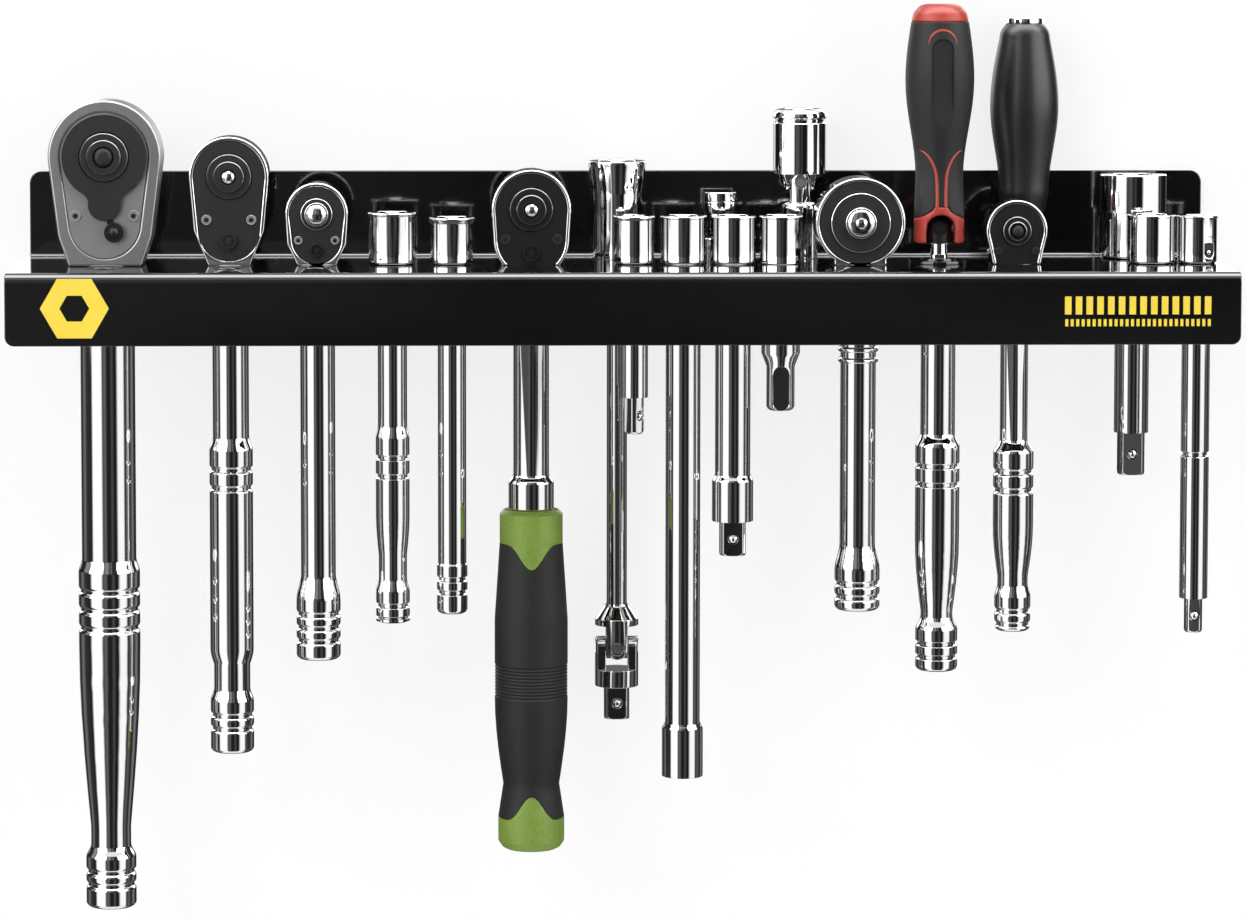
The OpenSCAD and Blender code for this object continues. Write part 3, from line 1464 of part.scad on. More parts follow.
module grip_ratchet_core() color("#5c8a1f") at_front(grip_x) difference() {
    union() {
        turned([
            [0, tang_z],
            [collar_d / 2 - end_edge, tang_z],
            [collar_d / 2, tang_z - end_edge],
            [collar_d / 2, sleeve_z],
            [core_d / 2, sleeve_z],
            [core_d / 2, cap_z],
            [cap_d / 2, cap_z],
            [cap_d / 2, cap_z - cap_l + 2 * end_edge],
            [cap_d / 2 - end_edge, cap_z - cap_l + end_edge / 2],
            [cap_d / 2 - 2 * end_edge, cap_z - cap_l],
            [0, cap_z - cap_l]
        ]);
        intersection() {
            tongues(tongue_w, 0);
            turned(concat([[core_d / 2 - cut, sleeve_z + cut]], sleeve_outline(), [[core_d / 2 - cut, cap_z - cut]]));
        }
    }
    translate([0, 0, tang_z - tang_l - seat_gap]) cylinder(h = tang_l + seat_gap + cut, d = tang_d + 2 * seat_gap);
}

module grip_ratchet_sleeve() color("#2a2a2b") at_front(grip_x) difference() {
    turned(concat(
        [[core_d / 2 + seat_gap, sleeve_z]],
        sleeve_outline(),
        [[core_d / 2 + seat_gap, cap_z]]
    ));
    tongues(tongue_w + 2 * seat_gap, seat_gap);
}

// A fork of a universal joint: pins on X at zero, root below at the reach given
module fork(d, slot, reach, pin_d) difference() {
    intersection() {
        translate([0, 0, -reach - cut]) cylinder(h = 2 * reach + cut, d = d);
        for (side = [-1, 1])
            translate([side * (slot / 2 + d / 4), 0, 0]) rotate([90, 0, 90]) translate([0, 0, -d / 4])
            linear_extrude(d / 2) {
                circle(d = slot - 2 * face_gap);
                translate([-slot / 2 + face_gap, -reach - cut]) square([slot - 2 * face_gap, reach + cut]);
            }
    }
    rotate([0, 90, 0]) cylinder(h = d + cut, d = pin_d + 2 * turn_gap, center = true);
}
function fork_slot(d) = d * 0.52;

// The cross between two forks
module spider(d, pin_d, slot) {
    block = slot - 2 * face_gap;
    cube(block, center = true);
    rotate([0, 90, 0]) cylinder(h = d - 2 * pin_short - pin_d / 2, d = pin_d, center = true);
    rotate([90, 0, 0]) cylinder(h = d - 2 * pin_short - pin_d / 2, d = pin_d, center = true);
}

// Swivel bar
swivel_root_z = -swivel_shaft_l - swivel_flare_l;
swivel_pin_z = swivel_root_z - swivel_reach;
swivel_tip_z = swivel_pin_z - swivel_reach;

module swivel_bar() color("#c4c6c8") at_rear(-swivel_left) {
    difference() {
        union() {
            turned([
                [0, 0],
                [swivel_body_d / 2, 0],
                [swivel_body_d / 2, swivel_body_h],
                [swivel_head_d / 2, swivel_body_h + swivel_cone_l],
                [swivel_head_d / 2, swivel_head_h - rim_edge],
                [swivel_head_d / 2 - rim_edge, swivel_head_h],
                [0, swivel_head_h]
            ]);
            turned([
                [0, handle_join],
                [swivel_shaft_d / 2, handle_join],
                [swivel_shaft_d / 2, -swivel_shaft_l],
                [swivel_d / 2, swivel_root_z + flare_l / 2],
                [swivel_d / 2, swivel_root_z],
                [0, swivel_root_z]
            ]);
            translate([0, 0, swivel_pin_z]) rotate([180, 0, 90])
            fork(swivel_d, fork_slot(swivel_d), swivel_reach, swivel_pin_d);
        }
        mouth(half_sq, swivel_head_h);
    }
}

module swivel_spider() color("#8d8f91") at_rear(-swivel_left) translate([0, 0, swivel_pin_z])
spider(swivel_d, swivel_pin_d, fork_slot(swivel_d));

module swivel_tip() color("#c4c6c8") at_rear(-swivel_left) {
    translate([0, 0, swivel_pin_z]) fork(swivel_d, fork_slot(swivel_d), swivel_reach, swivel_pin_d);
    turned([
        [0, swivel_tip_z],
        [swivel_d / 2, swivel_tip_z],
        [swivel_d / 2, swivel_tip_z - swivel_tip_l],
        [0, swivel_tip_z - swivel_tip_l]
    ]);
    drive_square(three_eighths_sq, swivel_tip_z - swivel_tip_l, swivel_square_l);
    detent_ball(three_eighths_sq, swivel_tip_z - swivel_tip_l, swivel_square_l);
}

// Universal joint: a base on the shelf, a spider, and a cup that leans
joint_pin_z = joint_base_h + joint_reach;
cup_root_z = joint_pin_z + joint_reach;
cup_low_z = joint_pin_z + cup_drop;
cup_top = cup_low_z + cup_l;

module universal_joint_base() color("#c4c6c8") at_rear(joint_right) {
    turned(concat(
        [[0, 0], [joint_base_d / 2, 0]],
        rounded_top(joint_base_d / 2, joint_edge, joint_base_h),
        [[0, joint_base_h]]
    ));
    translate([0, 0, joint_pin_z]) rotate(90)
    fork(joint_base_d - joint_edge, fork_slot(joint_base_d), joint_reach, joint_pin_d);
    drive_square(quarter_sq, 0, joint_square_l);
    detent_ball(quarter_sq, 0, joint_square_l);
}

module universal_joint_spider() color("#8d8f91") at_rear(joint_right) translate([0, 0, joint_pin_z])
spider(joint_base_d - joint_edge, joint_pin_d, fork_slot(joint_base_d));

module universal_joint_cup() color("#c4c6c8") at_rear(joint_right) difference() {
    skirt_r = cup_d / 2 - cup_skirt;
    union() {
        intersection() {
            translate([0, 0, joint_pin_z]) rotate([180, 0, 0])
            fork(joint_base_d, fork_slot(joint_base_d), joint_reach, joint_pin_d);
            turned([
                [0, joint_pin_z - joint_reach],
                [cup_foot_d / 2, joint_pin_z - joint_reach],
                [joint_base_d / 2, cup_low_z],
                [joint_base_d / 2, cup_root_z + cut],
                [0, cup_root_z + cut]
            ]);
        }
        turned(concat(
            [[0, cup_root_z], [skirt_r, cup_root_z], [skirt_r, cup_low_z], [cup_d / 2, cup_low_z]],
            [for (i = [3 : -1 : 0]) groove(cup_d / 2, cup_top - cup_groove)[i]],
            rounded_top(cup_d / 2, cup_edge, cup_top),
            [[0, cup_top]]
        ));
    }
    mouth(three_eighths_sq, cup_top);
}

// Extension bars
function shaft_points(d, l) = [[0, handle_join], [d / 2, handle_join], [d / 2, -l], [0, -l]];

module short_extension() color("#c4c6c8") at_front(short_x) rotate(45)
bar_with_square(
    socket_points(short_head_d, short_rim_d, bar_head_h),
    shaft_points(short_shaft_d, short_shaft_l),
    quarter_sq, quarter_sq, bar_head_h, -short_shaft_l, short_square_l
);

module long_socket_bar() color("#c4c6c8") at_front(long_x) difference() {
    end_z = -long_shaft_l - flare_l / 2;
    union() {
        turned(socket_points(long_head_d, long_rim_d, bar_head_h));
        turned(concat(
            [[0, handle_join], [long_shaft_d / 2, handle_join], [long_shaft_d / 2, -long_shaft_l]],
            [[long_end_d / 2, end_z], [long_end_d / 2, end_z - long_end_l], [0, end_z - long_end_l]]
        ));
    }
    mouth(three_eighths_sq, bar_head_h);
    translate([0, 0, end_z - long_end_l]) rotate([180, 0, 0]) mouth(three_eighths_sq, 0);
}

module medium_extension() color("#c4c6c8") at_front(bar_x) {
    collar_z = -bar_shaft_l - flare_l / 2;
    bar_with_square(
        socket_points(bar_head_d, bar_rim_d, bar_head_h),
        concat(
            [[0, handle_join], [bar_shaft_d / 2, handle_join], [bar_shaft_d / 2, -bar_shaft_l]],
            [[bar_collar_d / 2, collar_z], [bar_collar_d / 2, collar_z - bar_collar_l], [0, collar_z - bar_collar_l]]
        ),
        three_eighths_sq, three_eighths_sq, bar_head_h, collar_z - bar_collar_l, bar_square_l
    );
}

module stub_extension() color("#c4c6c8") at_front(stub_x) difference() {
    tongue_z = -stub_body_l - flare_l;
    end_z = tongue_z - stub_tongue_l;
    union() {
        turned(socket_points(stub_head_d, stub_rim_d, bar_head_h));
        turned(concat(
            [[0, handle_join], [stub_body_d / 2, handle_join], [stub_body_d / 2, -stub_body_l]],
            [[stub_tongue_d / 2, tongue_z]],
            rounded_end(stub_tongue_d / 2, end_z)
        ));
    }
    mouth(three_eighths_sq, bar_head_h);
    slab(-stub_tongue_d, stub_tongue_d - stub_flat_w / 2) {
        translate([0, tongue_z - stub_flat_w / 2]) circle(d = stub_flat_w);
        translate([0, end_z + stub_flat_w / 2]) circle(d = stub_flat_w);
        translate([-stub_flat_w / 2, end_z + stub_flat_w / 2])
        square([stub_flat_w, stub_tongue_l - stub_flat_w]);
    }
}

module slim_extension() color("#c4c6c8") at_front(slim_x) difference() {
    bar_with_square(
        socket_points(slim_head_d, slim_rim_d, bar_head_h),
        concat(
            [[0, handle_join], [slim_shaft_d / 2, handle_join]],
            groove(slim_shaft_d / 2, -slim_ring_z),
            [[slim_shaft_d / 2, -slim_shaft_l], [0, -slim_shaft_l]]
        ),
        quarter_sq, quarter_sq, bar_head_h, -slim_shaft_l, slim_square_l
    );
    rotate(window_turn) slab(-slim_head_d, slim_head_d / 2 + window_depth) {
        for (z = [window_w, window_h])
            translate([0, z]) circle(d = window_w);
        translate([-window_w / 2, window_w]) square([window_w, window_h - window_w]);
    }
}

// Locking extension: a collar slides down its neck, under a stop ring
collar_top = lock_neck_h - lock_stop_t - face_gap;
module locking_extension() color("#c4c6c8") at_rear(lock_right) turned([
    [0, -lock_stem_l],
    [lock_stem_d / 2, -lock_stem_l],
    [lock_stem_d / 2, 0],
    [lock_foot_d / 2, 0],
    [lock_foot_d / 2, lock_foot_h - rim_edge],
    [lock_foot_d / 2 - rim_edge, lock_foot_h],
    [lock_neck_d / 2, lock_foot_h],
    [lock_neck_d / 2, lock_neck_h - lock_stop_t],
    [lock_collar_d / 2, lock_neck_h - lock_stop_t],
    [lock_collar_d / 2, lock_neck_h - rim_edge],
    [lock_collar_d / 2 - rim_edge, lock_neck_h],
    [0, lock_neck_h]
]);

module locking_collar() color("#b4b6b8") at_rear(lock_right) turned([
    [lock_neck_d / 2 + turn_gap, collar_top - lock_collar_l],
    [lock_collar_d / 2, collar_top - lock_collar_l],
    [lock_collar_d / 2, collar_top],
    [lock_neck_d / 2 + turn_gap, collar_top]
]);

// Large adapter and plain socket
module large_adapter() color("#c4c6c8") at_rear(adapter_right) bar_with_square(
    [
        [0, 0],
        [adapter_body_d / 2, 0],
        [adapter_body_d / 2, adapter_body_h],
        [adapter_head_d / 2, adapter_body_h],
        [adapter_head_d / 2, adapter_head_h - rim_edge],
        [adapter_head_d / 2 - rim_edge, adapter_head_h],
        [0, adapter_head_h]
    ],
    shaft_points(adapter_shaft_d, adapter_shaft_l),
    three_eighths_sq, half_sq, adapter_head_h, -adapter_shaft_l, adapter_square_l
);

module plain_socket() color("#c4c6c8") at_front(socket_x) difference() {
    union() {
        turned(socket_points(socket_d - rim_edge, socket_d, socket_h));
        turned(shaft_points(socket_stem_d, socket_stem_l));
    }
    mouth(three_eighths_sq, socket_h);
}

// Round ratchet
round_pocket_r = round_head_r - head_wall;
module round_ratchet_handle() color("#c4c6c8") at_front(round_x) difference() {
    union() {
        slab(-round_t / 2, round_t) round_outline();
        turned(plain_points(round_shaft_d, round_shaft_l, round_pommel_d, round_pommel_l, 2 * flare_l, 2));
        for (i = [0 : 1])
            translate([0, 0, -round_band_z - i * 2 * groove_w - groove_w])
            cylinder(h = groove_w, d = round_band_d);
    }
    translate([0, -round_t / 2 - cut, round_hub_z]) rotate([-90, 0, 0])
    cylinder(h = cover_t + cut, r = round_head_r - rim_w + seat_gap);
    drive_space(round_hub_z, round_t, round_pocket_r, medium_neck_r);
}

module round_ratchet_face() color("#3a3b3d") at_front(round_x)
cover(round_t, round_hub_z, round_disc_r)
slab(-round_t / 2, cover_t) translate([0, round_hub_z]) circle(round_head_r - rim_w);

module round_ratchet_drive() color("#55575a") at_front(round_x)
drive(
    round_hub_z, round_t, round_pocket_r, round_disc_r, round_boss_r, medium_neck_r,
    three_eighths_sq, medium_square_l, round_button_r
);

module round_ratchet_button() color("#c4c6c8") at_front(round_x) button(round_hub_z, round_t, round_button_r);

// Socket handle, and the red driver that stands in its square hole
module socket_handle() color("#c4c6c8") at_front(red_x) difference() {
    union() {
        cylinder(h = flange_h, d = flange_d);
        turned(handle_points(
            stand_shaft_d, stand_shaft_l, stand_grip_d, stand_grip_l, stand_taper_l,
            stand_waist_d, stand_waist_l, stand_pommel_d, stand_pommel_l, 2
        ));
    }
    mouth(quarter_sq, flange_h);
}

// The driver's own frame: its knuckle pin at zero
module at_knuckle() at_front(red_x) translate([0, 0, knuckle_z]) children();
knuckle_slot = knuckle_w + 2 * face_gap;
// One side of the red bridge, from the shoulder of the fork up to its narrow top
function bridge_side(side, gap) = [
    for (i = [0 : taper_steps])
    [side * (gap + (bridge_w + (fork_w - bridge_w) * (1 - sin(90 * i / taper_steps))) / 2),
    fork_shoulder + gap + (bridge_top - fork_shoulder) * i / taper_steps]
];
module fork_outline(gap) polygon(concat(
    [[-fork_w / 2 - gap, -knuckle_r + face_gap], [fork_w / 2 + gap, -knuckle_r + face_gap]],
    bridge_side(1, gap),
    [for (i = [taper_steps : -1 : 0]) bridge_side(-1, gap)[i]]
));

module red_driver_shank() color("#2b2b2c") at_knuckle() {
    spot = -knuckle_w / 2 + lock_spot_depth;
    difference() {
        union() {
            sphere(d = knuckle_w);
            translate([0, 0, -knuckle_r]) cylinder(h = knuckle_r, d = knuckle_w);
        }
        rotate([0, 90, 0]) cylinder(h = knuckle_w + 2 * cut, d = knuckle_pin_d + 2 * turn_gap, center = true);
        translate([0, spot, 0]) rotate([90, 0, 0]) cylinder(h = knuckle_w, r = lock_spot_r);
    }
    translate([0, spot, 0]) rotate([90, 0, 0]) cylinder(h = lock_spot_depth / 2, r = lock_button_r);
    translate([0, 0, -knuckle_z + flange_h + face_gap]) cylinder(h = knuckle_z - knuckle_r - flange_h, d = quarter_sq);
    drive_square(quarter_sq, -knuckle_z + flange_h + face_gap, mouth_depth);
}

// The red core: fork and bridge round the knuckle, a rod through the sleeve, and the cap on top
module red_driver_core() color("#b0241c") at_knuckle() difference() {
    cap_z = red_top_z + red_cap_h;
    union() {
        intersection() {
            slab(-fork_w, 2 * fork_w) fork_outline(0);
            translate([0, 0, -knuckle_r]) cylinder(h = knuckle_r + bridge_top, d = fork_w);
        }
        turned([
            [0, knuckle_slot / 2 - touch_in],
            [red_core_d / 2, knuckle_slot / 2 - touch_in],
            [red_core_d / 2, red_top_z],
            [red_top_d / 2, red_top_z],
            [red_top_d / 2 - end_edge / 2, red_top_z + red_cap_h / 2],
            [red_top_d / 2 - 2 * end_edge, cap_z - end_edge / 2],
            [red_top_d / 4, cap_z],
            [0, cap_z]
        ]);
    }
    slab(-fork_w, 2 * fork_w) {
        circle(d = knuckle_slot);
        translate([-knuckle_slot / 2, -2 * knuckle_r]) square([knuckle_slot, 2 * knuckle_r]);
    }
    rotate([0, 90, 0]) cylinder(h = fork_w + cut, d = knuckle_pin_d + 2 * seat_gap, center = true);
}

module red_driver_sleeve() color("#262627") at_knuckle() difference() {
    turned(concat(
        [[red_core_d / 2 + seat_gap, fork_shoulder], [fork_w / 2, fork_shoulder]],
        belly(red_waist_d / 2, red_waist_z, red_belly_d / 2, red_belly_z, red_top_d / 2, red_top_z),
        [[red_core_d / 2 + seat_gap, red_top_z]]
    ));
    slab(-red_belly_d, red_belly_d / 2 + label_depth + (red_belly_d - red_top_d) / 4) {
        label_mid = red_belly_z - label_l / 8;
        for (side = [-1, 1])
            translate([0, label_mid + side * (label_l - label_w) / 2]) circle(d = label_w);
        translate([-label_w / 2, label_mid - (label_l - label_w) / 2]) square([label_w, label_l - label_w]);
    }
    slab(-fork_w, 2 * fork_w) fork_outline(seat_gap);
}

module red_driver_pin() color("#8d8f91") at_knuckle() rotate([0, 90, 0])
cylinder(h = fork_w - 2 * pin_short, d = knuckle_pin_d, center = true);

// Black driver
module black_driver_grip() color("#262627") at_rear(black_right) turned(concat(
    [[shank_d / 2 + seat_gap, bolster_h], [bolster_d / 2, bolster_h]],
    belly(
        black_neck_d / 2, black_neck_z, black_belly_d / 2, black_belly_z,
        black_top_d / 2, black_top_z - 2 * end_edge
    ),
    [
        [black_top_d / 2 - end_edge, black_top_z - end_edge / 2],
        [steel_cap_d / 2, black_top_z],
        [shank_d / 2 + seat_gap, black_top_z]
    ]
));

module black_driver_shank() color("#c4c6c8") at_rear(black_right) turned([
    [0, -shank_l],
    [shank_d / 2, -shank_l],
    [shank_d / 2, 0],
    [bolster_d / 2, 0],
    [bolster_d / 2, bolster_h],
    [shank_d / 2, bolster_h],
    [shank_d / 2, black_top_z],
    [steel_cap_d / 2, black_top_z],
    [steel_cap_d / 2, black_top_z + steel_cap_h - rim_edge],
    [steel_cap_d / 2 - rim_edge, black_top_z + steel_cap_h],
    [0, black_top_z + steel_cap_h]
]);

// Short ratchet
midget_pocket_r = midget_head_r - head_wall;
module midget_plate(front, t, inset)
head_plate(front, t, midget_head_r, midget_hub_z, midget_shoulder_w, midget_shoulder_z, midget_base_w, inset);

module short_ratchet_handle() color("#c4c6c8") at_front(midget_x) difference() {
    union() {
        midget_plate(-midget_t / 2, midget_t, 0);
        turned(handle_points(
            midget_shaft_d, midget_shaft_l, midget_grip_d, midget_grip_l, midget_taper_l,
            midget_waist_d, midget_waist_l, midget_pommel_d, midget_pommel_l, 2
        ));
    }
    midget_plate(-midget_t / 2 - cut, cover_t + cut, rim_w - seat_gap);
    drive_space(midget_hub_z, midget_t, midget_pocket_r, small_neck_r);
    screw_holes(midget_screw_x, midget_screw_z, midget_t);
}

module short_ratchet_cover() color("#2f3032") at_front(midget_x) difference() {
    cover(midget_t, midget_hub_z, midget_disc_r) midget_plate(-midget_t / 2, cover_t, rim_w);
    screw_holes(midget_screw_x, midget_screw_z, midget_t);
}

module short_ratchet_drive() color("#38383a") at_front(midget_x)
drive(
    midget_hub_z, midget_t, midget_pocket_r, midget_disc_r, midget_boss_r, small_neck_r,
    quarter_sq, small_square_l, midget_button_r
);

module short_ratchet_button() color("#c4c6c8") at_front(midget_x) button(midget_hub_z, midget_t, midget_button_r);

module short_ratchet_screws() color("#4a4a4c") at_front(midget_x)
screws(midget_screw_x, midget_screw_z, midget_screw_r, midget_t);

rack_shelf();
large_ratchet_handle();
large_ratchet_cover();
large_ratchet_face();
large_ratchet_drive();
large_ratchet_button();
large_ratchet_lever();
large_ratchet_screws();
medium_ratchet_handle();
medium_ratchet_cover();
medium_ratchet_drive();
medium_ratchet_button();
medium_ratchet_selector();
medium_ratchet_screws();
small_ratchet_handle();
small_ratchet_cover();
small_ratchet_drive();
small_ratchet_selector();
small_ratchet_screws();
shaped_bar();
plain_bar();
grip_ratchet_handle();
grip_ratchet_cover();
grip_ratchet_drive();
grip_ratchet_button();
grip_ratchet_selector();
grip_ratchet_screws();
grip_ratchet_core();
grip_ratchet_sleeve();
swivel_bar();
swivel_spider();
swivel_tip();
short_extension();
long_socket_bar();
locking_extension();
locking_collar();
medium_extension();
universal_joint_base();
universal_joint_spider();
universal_joint_cup();
stub_extension();
round_ratchet_handle();
round_ratchet_face();
round_ratchet_drive();
round_ratchet_button();
socket_handle();
red_driver_shank();
red_driver_core();
red_driver_sleeve();
red_driver_pin();
black_driver_grip();
black_driver_shank();
short_ratchet_handle();
short_ratchet_cover();
short_ratchet_drive();
short_ratchet_button();
short_ratchet_screws();
large_adapter();
plain_socket();
slim_extension();
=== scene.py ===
# %% [markdown]
# # A stocked wall rack of ratchets and drive bars
# The CAD frame already has every tool in its place, at its real size. This lesson gives the tools their looks: softened
# edges, polished chrome, charcoal plates, moulded grips and the gloss black coat of the rack. Everything is in metres,
# in the CAD's own frame, so nothing has to be fitted by eye.

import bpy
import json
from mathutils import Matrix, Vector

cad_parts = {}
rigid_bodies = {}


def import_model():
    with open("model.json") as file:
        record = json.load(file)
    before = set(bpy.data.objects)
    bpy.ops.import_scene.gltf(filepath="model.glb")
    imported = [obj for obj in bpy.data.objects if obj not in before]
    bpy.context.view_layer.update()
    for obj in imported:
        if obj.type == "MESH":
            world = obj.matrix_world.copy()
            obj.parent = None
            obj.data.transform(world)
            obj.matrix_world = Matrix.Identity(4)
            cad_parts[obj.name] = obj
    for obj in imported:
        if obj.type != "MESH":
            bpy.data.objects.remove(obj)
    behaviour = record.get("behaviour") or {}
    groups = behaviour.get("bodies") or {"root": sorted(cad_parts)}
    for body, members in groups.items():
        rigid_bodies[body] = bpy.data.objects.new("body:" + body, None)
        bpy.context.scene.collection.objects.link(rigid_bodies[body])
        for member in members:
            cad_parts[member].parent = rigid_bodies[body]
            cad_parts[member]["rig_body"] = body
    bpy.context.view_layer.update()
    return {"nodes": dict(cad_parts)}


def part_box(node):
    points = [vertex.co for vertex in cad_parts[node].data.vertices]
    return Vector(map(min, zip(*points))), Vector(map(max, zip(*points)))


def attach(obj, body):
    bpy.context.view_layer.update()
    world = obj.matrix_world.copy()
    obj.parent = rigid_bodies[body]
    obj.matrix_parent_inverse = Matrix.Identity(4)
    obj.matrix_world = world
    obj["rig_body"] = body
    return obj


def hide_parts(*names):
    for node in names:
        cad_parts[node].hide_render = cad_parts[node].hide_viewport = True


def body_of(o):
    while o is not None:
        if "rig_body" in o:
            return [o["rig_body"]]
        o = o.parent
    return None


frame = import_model()

import json
from math import cos, hypot, pi, radians, sin

import bmesh
import bpy
from mathutils import Vector
from mathutils.bvhtree import BVHTree

mm = 0.001
scene = bpy.context.scene
scene.view_settings.view_transform = "Standard"

# %% [markdown]
# ## Camera
# The photo was taken with a long lens from about 1.8 m, a little above the shelf and a little left of the middle. A
# camera can be placed by eye, but here its place was worked out from the corners of the rack in the picture. The lens
# is shifted instead of tipped further, so the bars stay upright.

# %% Camera
FRAME_W = 1247
focal_px = 4652.5
pitch_down = 0.07632
turn_right = 0.01816

lens = bpy.data.cameras.new("photo_camera")
lens.sensor_width = 36.0
lens.lens = focal_px * lens.sensor_width / FRAME_W
lens.shift_x = 0.06
lens.shift_y = -0.15
camera = bpy.data.objects.new("photo_camera", lens)
camera.location = (-0.05806, -1.77146, 0.1119)
camera.rotation_euler = (pi / 2 - pitch_down, 0, -turn_right)
scene.collection.objects.link(camera)
scene.camera = camera
print("lens", round(lens.lens, 1), "mm")

# %% [markdown]
# ## Node helper
# A material is a small network. Writing out every node and link takes many lines, so one helper adds a node, sets its
# plain values and links the sockets that are given to it.

# %% Node helper
def wire(tree, kind, sockets=(), **settings):
    """Adds a node. A value that is itself a socket is linked, any other is set."""
    made = tree.nodes.new(kind)
    for name, value in settings.items():
        setattr(made, name, value)
    for key, value in dict(sockets).items():
        if isinstance(value, bpy.types.NodeSocket):
            tree.links.new(value, made.inputs[key])
        else:
            made.inputs[key].default_value = value
    return made


def math(tree, operation, a, b=0.0):
    return wire(tree, "ShaderNodeMath", {0: a, 1: b}, operation=operation).outputs[0]


def blank(name):
    """A new material with only its output left."""
    made = bpy.data.materials.new(name)
    made.use_nodes = True
    made.node_tree.nodes.clear()
    return made, made.node_tree, made.node_tree.nodes.new("ShaderNodeOutputMaterial")


print("helpers ready")

# %% [markdown]
# ## Studio air
# The background of the photo is plain white. The world is white for what the camera sees and for what metal mirrors,
# and only a soft grey for the light it sheds, so the white never comes from flooding the tools with light.

# %% World
air = bpy.data.worlds.new("studio_air")
air.use_nodes = True
scene.world = air
tree = air.node_tree
tree.nodes.clear()
path = wire(tree, "ShaderNodeLightPath")
seen = math(tree, "MAXIMUM", path.outputs["Is Camera Ray"], path.outputs["Is Glossy Ray"])
seen = math(tree, "MAXIMUM", seen, path.outputs["Is Transmission Ray"])
shed = wire(tree, "ShaderNodeBackground", {"Color": (1, 1, 1, 1), "Strength": 0.5})
white = wire(tree, "ShaderNodeBackground", {"Color": (1, 1, 1, 1), "Strength": 1.0})
both = wire(tree, "ShaderNodeMixShader", {0: seen, 1: shed.outputs[0], 2: white.outputs[0]})
wire(tree, "ShaderNodeOutputWorld", {"Surface": both.outputs[0]})
print("world", air.name)

# %% [markdown]
# ## Wall and floor
# The rack hangs on a white wall that keeps a faint shadow under the shelf. The wall is part glow and part matte white,
# so the shadow stays soft and pale. It is left out of reflections and from behind, so the back of the rack can be
# seen. A pale floor lies well below the longest handle.

# %% Wall and floor
floor_z = -0.46


def pale(name, glow, see_through):
    made, tree, out = blank(name)
    path = wire(tree, "ShaderNodeLightPath")
    coords = wire(tree, "ShaderNodeTexCoord").outputs["Object"]
    grain = wire(tree, "ShaderNodeTexNoise", {"Vector": coords, "Scale": 40.0, "Detail": 2.0})
    tint = wire(tree, "ShaderNodeMapRange", {0: grain.outputs["Fac"], 3: 0.95, 4: 0.98})
    matte = wire(tree, "ShaderNodeBsdfDiffuse", {"Color": tint.outputs[0]})
    light = wire(tree, "ShaderNodeEmission", {"Color": (1, 1, 1, 1), "Strength": 1.0})
    share = math(tree, "MULTIPLY", path.outputs["Is Camera Ray"], glow)
    shown = wire(tree, "ShaderNodeMixShader", {0: share, 1: matte.outputs[0], 2: light.outputs[0]}).outputs[0]
    if see_through:
        behind = wire(tree, "ShaderNodeNewGeometry").outputs["Backfacing"]
        clear = math(tree, "MAXIMUM", behind, path.outputs["Is Glossy Ray"])
        glass = wire(tree, "ShaderNodeBsdfTransparent")
        shown = wire(tree, "ShaderNodeMixShader", {0: clear, 1: shown, 2: glass.outputs[0]}).outputs[0]
    tree.links.new(shown, out.inputs["Surface"])
    return made


def sheet_of(name, corners, look):
    mesh = bpy.data.meshes.new(name)
    mesh.from_pydata(corners, [], [range(len(corners))])
    mesh.materials.append(look)
    made = bpy.data.objects.new(name, mesh)
    scene.collection.objects.link(made)
    return made


wall_y = 0.5 * mm
wall = sheet_of("wall", [(-4, wall_y, floor_z), (4, wall_y, floor_z), (4, wall_y, 4), (-4, wall_y, 4)],
                pale("wall_white", 0.78, True))
ground = sheet_of("floor", [(-6, -6, floor_z), (6, -6, floor_z), (6, 6, floor_z), (-6, 6, floor_z)],
                  pale("floor_white", 0.5, False))
ground.visible_glossy = False
print("wall and floor", wall.name, ground.name)

# %% [markdown]
# ## Lamps
# Two wide soft lamps stand left and right in front, and one hangs above. They give plain, even light. Their shapes are
# kept out of the reflections, because the next step draws those on purpose.

# %% Lamps
def softbox(name, place, aim, size, power):
    light = bpy.data.lights.new(name, "AREA")
    light.shape = "SQUARE"
    light.size = size
    light.energy = power
    made = bpy.data.objects.new(name, light)
    made.location = place
    made.rotation_euler = (Vector(aim) - Vector(place)).to_track_quat("-Z", "Y").to_euler()
    made.visible_glossy = False
    scene.collection.objects.link(made)
    return made


rack_middle = (0, -0.03, -0.08)
lamps = [
    softbox("lamp_left", (-1.0, -1.3, 0.7), rack_middle, 1.0, 11.0),
    softbox("lamp_right", (1.2, -1.2, 0.4), rack_middle, 1.0, 6.0),
    softbox("lamp_above", (0.0, -0.4, 1.5), rack_middle, 1.2, 8.0),
]
print(len(lamps), "lamps")

# %% [markdown]
# ## Reflector ring
# Chrome has no colour of its own: it shows what stands round it. In the photo each bar has a dark middle, a white
# band on either side and dark edges with a paler line. That is a dark camera side between two big white panels. A ring
# round the whole set, seen only by mirror-like rays, carries those panels. It is as far away as the camera, so the
# dark middle stays in the middle of every bar. Its brightness follows the compass angle, with one row for the heads,
# which look nearly level, and one for the shafts, which look down. Its upper part is stronger, because only the two
# black grips reach up that far, and they mirror just a twentieth of it.

